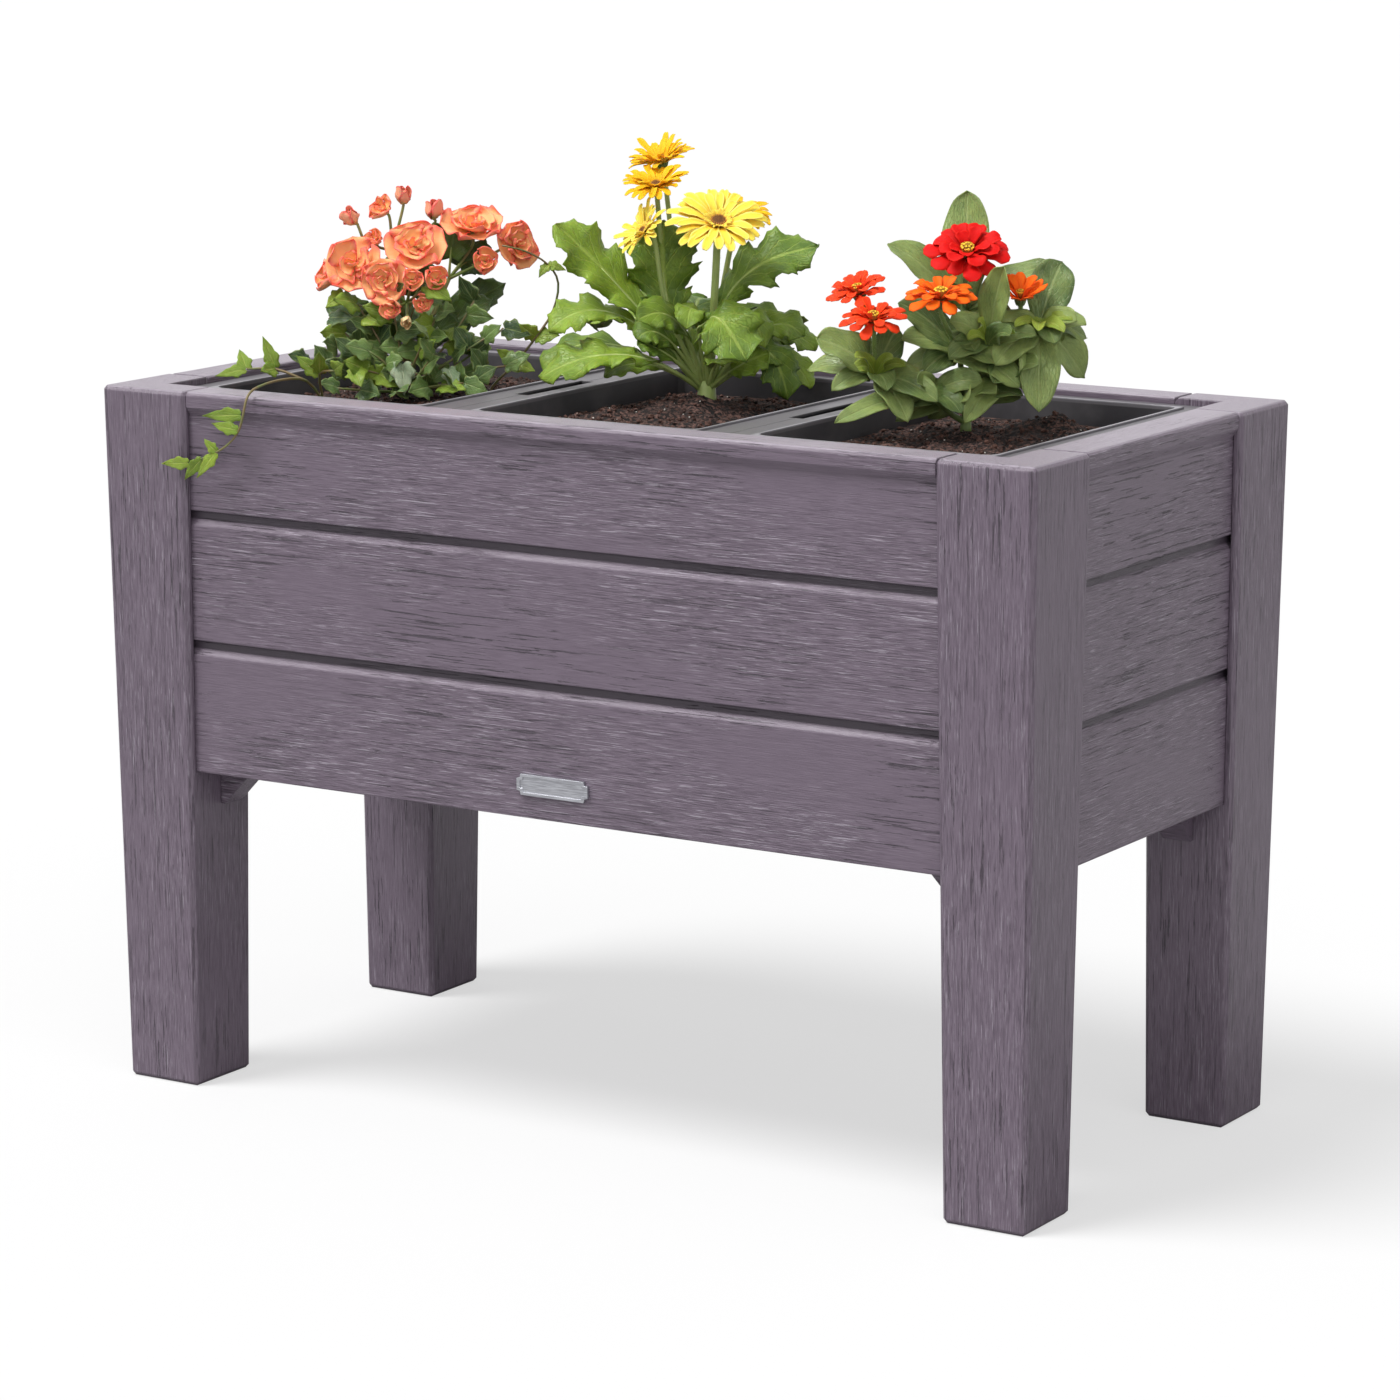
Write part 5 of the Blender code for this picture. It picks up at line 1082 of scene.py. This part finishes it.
for _, place, facing, size, _, middle, _ in GERBERA_BLOOMS:
    scale, axis = size / GERBERA_FULL, aim(facing)
    under = spot(GERBERA_FOOT, place) - axis * (6 * scale * MM)
    start = spot(GERBERA_FOOT, (0.05 * place[0], 0.05 * place[1], 1))
    flower_stalk(lines, stalks, foliage, under, axis, start, spot(GERBERA_FOOT, middle), 0.01,
        (0.0036 * scale, 0.0031 * scale), 6,
        [(-7, 3.0), (-4, 5.4), (0, 6.9), (2.6, 7.4), (2.8, 4)],
        (16, ((5.6, -5.0), (7.4, 0), (9.6, 4.0)), 1.5), scale)
add_stalks(stalks, lines)
foliage.done()
stalks.done()
grow_down("gerbera", "gerbera_leaves", lines[-len(GERBERA_BLOOMS):], count=420, longest=0.0017)

# %% [markdown]
# ## Zinnia
#
# Stiff branching stems carry oval grey-green leaves, and above them blooms with three layers of
# broad petals round a crown of small yellow star florets. One bloom is still opening, so its
# petals stand up and its third layer is missing. Smaller leaves fill the middle of the plant,
# each from the joint it is nearest to, and tufts of young leaves stand at three joints.

# %% Zinnia blooms
ZINNIA_NODES = {
    "foot": (0, 0, 4), "heart": (-6, 6, 62), "left": (-77, 25, 46), "right": (60, 5, 84),
    "back": (0, -18, 96), "bough": (16, 22, 72), "low": (-30, 24, 30), "low_right": (30, 12, 40),
    "base": (-4, 10, 22),
}
ZINNIA_STEMS = (("foot", "heart"), ("foot", "low"), ("low", "left"), ("foot", "low_right"),
    ("low_right", "right"), ("heart", "back"), ("heart", "bough"))
ZINNIA_LEAVES = (
    ("back", (2, -44, 194), 21, (0.0, 0.95, 0.2)),
    ("back", (-66, -22, 152), 17, (0.25, 0.65, 0.7)),
    ("back", (72, -28, 134), 15, (0.0, 0.55, 0.8)),
    ("right", (80, -12, 138), 19, (-0.25, 0.9, 0.2)),
    ("right", (100, -8, 40), 18, (0.3, 0.75, 0.6)),
    ("right", (58, 42, 18), 18, (0.0, 0.85, 0.5)),
    ("right", (22, 34, 56), 15, (-0.1, 0.75, 0.6)),
    ("right", (90, 22, 92), 10, (0.0, 0.6, 0.8)),
    ("right", (102, -22, 72), 11, (0.1, 0.6, 0.7)),
    ("bough", (28, 44, 140), 14, (-0.45, 0.85, 0.2)),
    ("left", (-127, 20, 76), 20, (0.1, 0.75, 0.65)),
    ("left", (-27, 57, 29), 13, (0.0, 0.65, 0.75)),
    ("left", (-51, 52, 11), 14, (0.1, 0.75, 0.65)),
    ("low", (-112, 52, 10), 10, (0.0, 0.55, 0.8)),
    ("left", (-134, 0, 48), 13, (-0.1, 0.55, 0.8)),
    ("left", (-58, 8, 84), 14, (0.0, 0.95, 0.2)),
    ("heart", (4, 42, 70), 11, (-0.1, 0.65, 0.75)),
    ("heart", (-56, 26, 76), 13, (0.1, 0.6, 0.8)),
    ("heart", (-58, 10, 106), 14, (0.1, 0.9, 0.4)),
    ("bough", (-16, 30, 92), 12, (0.0, 0.8, 0.6)),
    ("heart", (42, 38, 38), 15, (0.1, 0.75, 0.65)),
    ("low_right", (-4, 50, 10), 11, (0.0, 0.8, 0.6)),
    ("heart", (-40, -50, 70), 16, (-0.2, -0.3, 0.9)),
    ("heart", (24, -58, 76), 16, (0.2, -0.3, 0.9)),
    ("right", (66, -50, 66), 15, (0.1, -0.3, 0.9)),
    ("low", (-72, -34, 52), 14, (-0.1, -0.2, 0.95)),
)
ZINNIA_FULL = 66
# name, place, facing, size, colour, the joint that carries it, how far the petals rise
ZINNIA_BLOOMS = (
    ("red", (-1, 10, 149), (0.0, 0.55, 0.84), 69, "red", "heart", 0.0),
    ("orange", (-25, 58, 118), (-0.05, 0.28, 0.95), 64, "orange", "heart", 0.0),
    ("scarlet", (-80, 42, 97), (-0.05, 0.36, 0.93), 56, "orange", "left", 0.0),
    ("scarlet_back", (-92, 6, 116), (-0.3, 0.34, 0.89), 54, "orange", "left", 0.1),
    ("cup", (44, 9, 112), (0.0, 0.34, 0.94), 48, "orange", "low_right", 0.55),
)
ZINNIA_SKINS = {
    "red": petal_skins(
        "red_petal",
        ((0.46, 0.002, 0.002), (0.66, 0.004, 0.003), (0.8, 0.016, 0.008), (0.42, 0.001, 0.003)),
        ((0.5, 0.05, 0.04), (0.6, 0.05, 0.05), (0.65, 0.06, 0.06), (0.45, 0.04, 0.04)),
        gloss=0.5),
    "orange": petal_skins(
        "orange_petal",
        ((0.8, 0.07, 0.004), (0.92, 0.15, 0.004), (0.95, 0.085, 0.008), (0.85, 0.06, 0.006)),
        ((0.75, 0.18, 0.05), (0.82, 0.2, 0.05), (0.86, 0.22, 0.06), (0.7, 0.15, 0.05)),
        gloss=0.48),
}
ZINNIA_SKINS["scarlet"] = (
    petal_skin("scarlet_petal", (0.74, 0.024, 0.005), (0.84, 0.048, 0.008),
               (0.92, 0.105, 0.018), (0.74, 0.018, 0.006), gloss=0.48),
    ZINNIA_SKINS["orange"][1])


def star_florets(growth, centre, axis, count, radius, height, size):
    """Small five-pointed florets, each a shallow star on the crown of the bloom."""
    batch = new_shape()
    for angle in around(count, 0.15):
        out = outward(axis, angle)
        up = (axis + out * 0.5).normalized()
        side = up.cross(out).normalized()
        turn = stood(centre + out * radius + axis * height, side.cross(up), side, up)
        star = bmesh.ops.create_cone(batch, cap_ends=True, segments=10, radius1=size * 0.9,
            radius2=size * 0.5, depth=size * 0.8)["verts"]
        for vert in star:
            spoke = round(math.atan2(vert.co.y, vert.co.x) / (2 * math.pi) * 10)
            if spoke % 2 and vert.co.z < 0:
                vert.co.xy *= 0.45
                vert.co.z -= size * 0.5
            elif vert.co.z < 0:
                vert.co.z += size * 0.9
        bmesh.ops.transform(batch, matrix=turn, verts=star)
    bmesh.ops.recalc_face_normals(batch, faces=batch.faces)
    growth.take(batch, 0.92)


for name, place, facing, size, colour, _, rise in ZINNIA_BLOOMS:
    centre, axis, scale = spot(ZINNIA_FOOT, place), aim(facing), size / ZINNIA_FULL
    kind = "scarlet" if name.startswith("scarlet") else colour
    growth = Growth(f"zinnia_{name}_rays", f"zinnia_{name}_petals", colour + "_petals",
        *ZINNIA_SKINS[kind], thick=0.0007)
    reach = 1 - 0.1 * rise
    broad = 1.0 if colour == "red" else 0.76
    layers = (
        (11, 0.0, ((4, -4.5), (20 - 4 * rise, 0.5 + 10 * rise), (32.5 * reach, -3.0 + 33 * rise)),
         8.2, -0.16, 0.35, 0.1, 5.0),
        (8 if rise < 0.5 else 4, 0.4,
         ((3.5, -3), (15 - 3 * rise, 4.5 + 9 * rise), (25.0 * reach, 4.0 + 24 * rise)),
         7.4, 0.2, 0.2, 0.14, 4.5),
        (5, 0.2, ((3, -1.5), (9 - rise, 6 + 6 * rise), (16.0 * reach, 10.0 + 14 * rise)),
         5.6, 0.3, 0.1, 0.16, 3.0))
    for count, phase, run, half, cup, tone, loose, tilt in layers[:3 if rise < 0.5 else 2]:
        ring(growth, centre, axis, count, phase, run, half * broad, SPOON_PETAL, scale, cup=cup,
            wave=0.1, tone=tone, loose=loose, tilt=tilt)
    growth.done()
    crown = Growth(f"zinnia_{name}_crown", f"zinnia_{name}_centre", "florets", EYE)
    add_turned(crown, centre, axis, [(-3, 2.4), (0, 4.4), (3.4, 4.8), (5.6, 3.2), (6.4, 0)], 16,
        0.08, scale)
    millis = scale * MM
    beads(crown, centre, axis, millis, [(11, 2.6, 6.0, 0.8), (5, 1.1, 6.6, 0.8)], 0.25)
    star_florets(crown, centre, axis, 11, 4.8 * millis, 5.0 * millis, 1.6 * millis)
    star_florets(crown, centre, axis, 6, 2.4 * millis, 6.6 * millis, 1.4 * millis)
    crown.done()

# %% Zinnia leaves and stems
ZINNIA_NECK = 0.012
ZINNIA_LEAF = rounded(((0.0, 0.1, 0), (0.1, 0.42, -0.04), (0.32, 0.94, 0), (0.5, 1.0, 0),
    (0.72, 0.88, 0), (0.9, 0.55, 0), (1.0, 0.0, 0)), 3)
ZINNIA_VEINS = {"ribs": 5, "slant": 0.7, "net": 20}
DUSTY_GREEN = leaf_skin("zinnia_leaf", (0.076, 0.134, 0.03), (0.34, 0.435, 0.124),
    (0.43, 0.52, 0.21), gloss=0.34, **ZINNIA_VEINS, vein_share=0.36)
YOUNG_GREEN = leaf_skin("zinnia_young_leaf", (0.18, 0.27, 0.024), (0.41, 0.52, 0.062),
    (0.55, 0.63, 0.16), gloss=0.36, **ZINNIA_VEINS)
DUSTY_BACK = leaf_skin("zinnia_leaf_back", (0.19, 0.252, 0.094), (0.255, 0.325, 0.122),
    (0.35, 0.4, 0.188), gloss=0.6, **ZINNIA_VEINS)
ZINNIA_STALK = stalk_skin("zinnia_stalk", (0.22, 0.33, 0.09), (0.17, 0.23, 0.07))
foliage = Growth("zinnia_foliage", "zinnia_leaves", "zinnia_green", DUSTY_GREEN, DUSTY_BACK,
    thick=0.0007)
stalks = Growth("zinnia_stems", "zinnia_leaves", "zinnia_green", ZINNIA_STALK)
joints = {name: spot(ZINNIA_FOOT, place) for name, place in ZINNIA_NODES.items()}
lines = [([ZINNIA_FOOT - UP * 0.012, joints["foot"] + UP * 0.004], 0.0052, 0.0046)]
for low, high in ZINNIA_STEMS:
    line = bend(joints[low], (joints[low] + joints[high]) / 2 - UP * 0.003, joints[high])
    lines.append(stalk(line, 2.8, 2.4))
for _, place, facing, size, _, carried, _ in ZINNIA_BLOOMS:
    scale, axis = size / ZINNIA_FULL, aim(facing)
    under = spot(ZINNIA_FOOT, place) - axis * (7 * scale * MM)
    start = joints[carried]
    flower_stalk(lines, stalks, foliage, under, axis, start,
        (start + (under - axis * ZINNIA_NECK)) / 2 - NEAR * 0.004, ZINNIA_NECK, (0.0023, 0.0019),
        5, [(-6, 2.2), (-3, 4.4), (0, 5.6), (2.4, 6.0), (2.6, 3)],
        (12, ((4.6, -5.0), (6.2, -1), (7.0, 3.4)), 1.9), scale)
filling = []
for carried, count, spread in (("heart", 8, 46), ("low", 6, 42), ("low_right", 7, 44),
        ("bough", 5, 40), ("left", 4, 38), ("right", 5, 40), ("back", 3, 40), ("base", 12, 56)):
    x, y, z = ZINNIA_NODES[carried]
    for turn in around(count, 0.2):
        tip = (x + spread * math.cos(turn), y + 0.5 * spread * math.sin(turn) + 10,
            z + spread * chance.uniform(-0.35, 0.45))
        filling.append((carried, tip, chance.uniform(9, 13),
            (chance.uniform(-0.3, 0.3), 0.7, chance.uniform(0.3, 0.8))))
young = Growth("zinnia_young_leaves", "zinnia_leaves", "zinnia_green", YOUNG_GREEN, DUSTY_BACK,
    thick=0.0006)
sprouts = []
for carried, count, spread in (("right", 7, 27), ("left", 5, 24), ("bough", 3, 22)):
    x, y, z = ZINNIA_NODES[carried]
    lower = 12 if carried == "right" else 0
    for turn in around(count, 0.2):
        sprouts.append((carried, (x + spread * math.cos(turn),
            y + 18 + 0.6 * spread * math.sin(turn), z - lower + spread * chance.uniform(0.2, 0.9)),
            chance.uniform(5, 7), (0.0, 0.8, 0.6)))
shown = [(foliage, given) for given in (*ZINNIA_LEAVES, *filling)]
shown += [(young, given) for given in sprouts]
for growth, (carried, tip, half, facing) in shown:
    start, end = joints[carried], spot(ZINNIA_FOOT, tip)
    line = bend(start, (start + end) / 2 + UP * 0.006, end)
    leaf(growth, line, ZINNIA_LEAF, half, aim(facing), fold=0.2, cup=0.06, wave=0.12, waves=2,
        vein=0.028)
add_stalks(stalks, lines)
foliage.done()
young.done()
stalks.done()
grow_down("zinnia", "zinnia_leaves", lines[-len(ZINNIA_BLOOMS):], count=260, longest=0.0013)

# %% [markdown]
# ## Potting mix
#
# The frame's soil is coarse, so a finer top takes its place: the same lumps and mounds, with
# small noise added, then loose crumbs and pale grit scattered on it. The crumbs are many, so
# each is a squashed ball of twenty faces.

# %% The soil, its crumbs and grit
LINER_PITCH = 0.277
SOIL_LEVEL = 0.598
SOIL_CORNER = 0.01
MOUNDS = {
    "left": ((-0.3, 0.01, 0.004, 0.05),),
    "middle": ((-0.013, 0.05, 0.012, 0.035), (-0.03, -0.03, 0.01, 0.05)),
    "right": ((0.25, 0.04, 0.006, 0.03), (0.3, 0.095, 0.016, 0.02)),
}


def soil_skin():
    skin = Skin("potting_mix", Specular_IOR_Level=0.3)
    coarse = skin.speckle(skin.place(), 260, 4, 0.65)
    damp = skin.speckle(skin.place(), 26, 3, 0.6)
    colour = skin.blend(coarse.over(0.43, 0.66), (0.003, 0.002, 0.002), (0.14, 0.076, 0.062))
    colour = skin.blend(damp.over(0.45, 0.7) * 0.5, colour, (0.014, 0.008, 0.007))
    colour = skin.blend(skin.tone() * 0.5, colour, (0.15, 0.07, 0.05))
    skin.paint(Base_Color=colour, Roughness=0.8 + 0.15 * coarse)
    skin.relief(coarse, 0.0022, 0.9)
    return skin.material


def grit_skin():
    skin = Skin("pale_grit", Roughness=0.8)
    grain = skin.speckle(skin.place(), 900, 3, 0.6)
    skin.paint(Base_Color=skin.blend(grain, (0.42, 0.38, 0.33), (0.72, 0.7, 0.66)))
    skin.relief(grain, 0.0003, 0.6)
    return skin.material


MIX, GRIT = soil_skin(), grit_skin()


def soil_height(px, py, x, y, middle, mounds):
    inside = (1 - x ** 8) * (1 - y ** 8)
    lumps = 2.2 * math.sin(61 * px + 2) * math.sin(47 * py + 1)
    lumps += 1.4 * math.sin(140 * px + 90 * py) + 1.1 * math.sin(120 * py - 70 * px + 4)
    place = Vector((middle + px, py, 0))
    lumps += 3.0 * noise.noise(place * 90) + 2.2 * noise.noise(place * 230)
    rise = sum(h * math.exp(-((middle + px - mx) ** 2 + (py - my) ** 2) / (2 * s * s)) for mx, my,
        h, s in mounds)
    return SOIL_LEVEL + inside * (lumps * MM + rise)


for index, (side, mounds) in enumerate(MOUNDS.items()):
    middle = (index - 1) * LINER_PITCH
    low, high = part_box("soil_" + side)
    half = (high - low) / 2
    bed = Growth(f"soil_{side}_top", "soil_" + side, "soil", MIX)
    shape = new_shape()
    bmesh.ops.create_grid(shape, x_segments=76, y_segments=116, size=1)
    rim = [edge for edge in shape.edges if edge.is_boundary]
    for vert in shape.verts:
        x, y = vert.co.x, vert.co.y
        px, py = x * half.x, y * half.y
        beyond = Vector((abs(px) - half.x + SOIL_CORNER, abs(py) - half.y + SOIL_CORNER))
        if beyond.x > 0 and beyond.y > 0 and beyond.length > SOIL_CORNER:
            beyond *= SOIL_CORNER / beyond.length
            px = math.copysign(half.x - SOIL_CORNER + beyond.x, px)
            py = math.copysign(half.y - SOIL_CORNER + beyond.y, py)
        vert.co = (middle + px, py, soil_height(px, py, x, y, middle, mounds))
    made = bmesh.ops.extrude_edge_only(shape, edges=rim)["geom"]
    foot = [item for item in made if isinstance(item, bmesh.types.BMVert)]
    for vert in foot:
        vert.co = (middle + (vert.co.x - middle) * 0.92, vert.co.y * 0.94, low.z)
    bmesh.ops.contextual_create(shape,
        geom=[item for item in made if isinstance(item, bmesh.types.BMEdge)])
    bmesh.ops.recalc_face_normals(shape, faces=shape.faces)
    bed.take(shape, 0.0)
    bed.done()
    crumbs = Growth(f"soil_{side}_crumbs", "soil_" + side, "soil", MIX)
    grit = Growth(f"soil_{side}_grit", "soil_" + side, "soil", GRIT)
    for growth, batches, each, smallest, largest in ((crumbs, 26, 50, 0.6, 3.6),
            (grit, 4, 22, 0.5, 1.5)):
        for _ in range(batches):
            batch = new_shape()
            for _ in range(each):
                x, y = chance.uniform(-0.96, 0.96), chance.uniform(-0.97, 0.97)
                px, py = x * half.x, y * half.y
                size = chance.uniform(smallest, largest) * MM * chance.uniform(0.5, 1)
                where = Matrix.Translation((middle + px, py, size * 0.3 + soil_height(
                    px, py, x, y, middle, mounds)))
                turn = Matrix.Rotation(chance.uniform(0, 6.28), 4, "Z") @ Matrix.Rotation(
                    chance.uniform(-0.6, 0.6), 4, "X")
                squash = Matrix.Diagonal((size, size * chance.uniform(0.6, 1),
                    size * chance.uniform(0.45, 0.9), 1))
                bmesh.ops.create_icosphere(batch, subdivisions=1, radius=1,
                    matrix=where @ turn @ squash)
            growth.take(batch, chance.uniform(0, 1))
    crumbs.done(smooth=False)
    grit.done(smooth=False)

# %% [markdown]
# ## Floor, light and camera
#
# The bed stands on a pale floor before a white ground. A wide, soft sun high at the front left
# gives the faint shadow to the right, a weaker one from the right lightens the shaded sides, and
# an even white surround does the rest. Floor and surround look brighter to the camera than they
# light the bed, so both come out white without washing out the plants. The camera stands well
# back, at the height and angle that the picture was taken from.

# %% Stage
VIEW_FROM = math.radians(31.92)
VIEW_DOWN = math.radians(11.33)
VIEW_BACK = 4.1666
VIEW_AT = Vector((0.0112, 0, 0.3548))
LENS = 122.97
WHITE = (1.0, 1.0, 1.0)

floor_skin = Skin("studio_floor", Roughness=0.9, Specular_IOR_Level=0.1)
floor_skin.paint(Base_Color=(0.45, 0.45, 0.45))
glow = floor_skin.add("Emission", {"Color": WHITE, "Strength": 1.5})
plain = Signal(floor_skin, floor_skin.shader.outputs[0])
lifted = floor_skin.add("MixShader", {0: floor_skin.add("LightPath") * 0.4, 1: plain, 2: glow})
floor_skin.feed(floor_skin.tree.nodes["Material Output"].inputs["Surface"], lifted)
floor_shape = bmesh.new()
bmesh.ops.create_grid(floor_shape, x_segments=1, y_segments=1, size=30)
floor_mesh = bpy.data.meshes.new("studio_floor")
floor_shape.to_mesh(floor_mesh)
floor_shape.free()
floor_mesh.materials.append(floor_skin.material)
floor = bpy.data.objects.new("studio_floor", floor_mesh)
bpy.context.scene.collection.objects.link(floor)

scene = bpy.context.scene
scene.view_settings.view_transform = "Standard"
surround = bpy.data.worlds.new("studio")
surround.use_nodes = True
scene.world = surround
sky = Nodes(surround.node_tree)
dim = sky.add("Background", {"Color": WHITE, "Strength": 0.36})
bright = sky.add("Background", {"Color": WHITE, "Strength": 1.05})
seen = sky.maths("MAXIMUM", sky.add("LightPath"), sky.add("LightPath", out="Is Glossy Ray"))
mixed = sky.add("MixShader", {0: seen, 1: dim, 2: bright})
sky.feed(sky.tree.nodes["World Output"].inputs["Surface"], mixed)


def far_light(name, towards, spread, strength):
    """A light so far off that it is even all over, with soft shadows of that spread."""
    lamp = bpy.data.lights.new(name, "SUN")
    lamp.angle = math.radians(spread)
    lamp.energy = strength
    made = bpy.data.objects.new(name, lamp)
    made.rotation_euler = Vector(towards).to_track_quat("Z", "Y").to_euler()
    scene.collection.objects.link(made)


far_light("key_light", (-0.36, -0.42, 1.0), 26, 3.5)
far_light("fill_light", (0.9, -1.0, 0.9), 70, 0.9)

back = Vector((math.sin(VIEW_FROM) * math.cos(VIEW_DOWN),
    -math.cos(VIEW_FROM) * math.cos(VIEW_DOWN), math.sin(VIEW_DOWN)))
camera = bpy.data.objects.new("camera", bpy.data.cameras.new("camera"))
camera.data.sensor_width = 36
camera.data.lens = LENS
camera.location = VIEW_AT + back * VIEW_BACK
camera.rotation_euler = back.to_track_quat("Z", "Y").to_euler()
scene.collection.objects.link(camera)
scene.camera = camera
print("camera at", [round(number, 3) for number in camera.location])
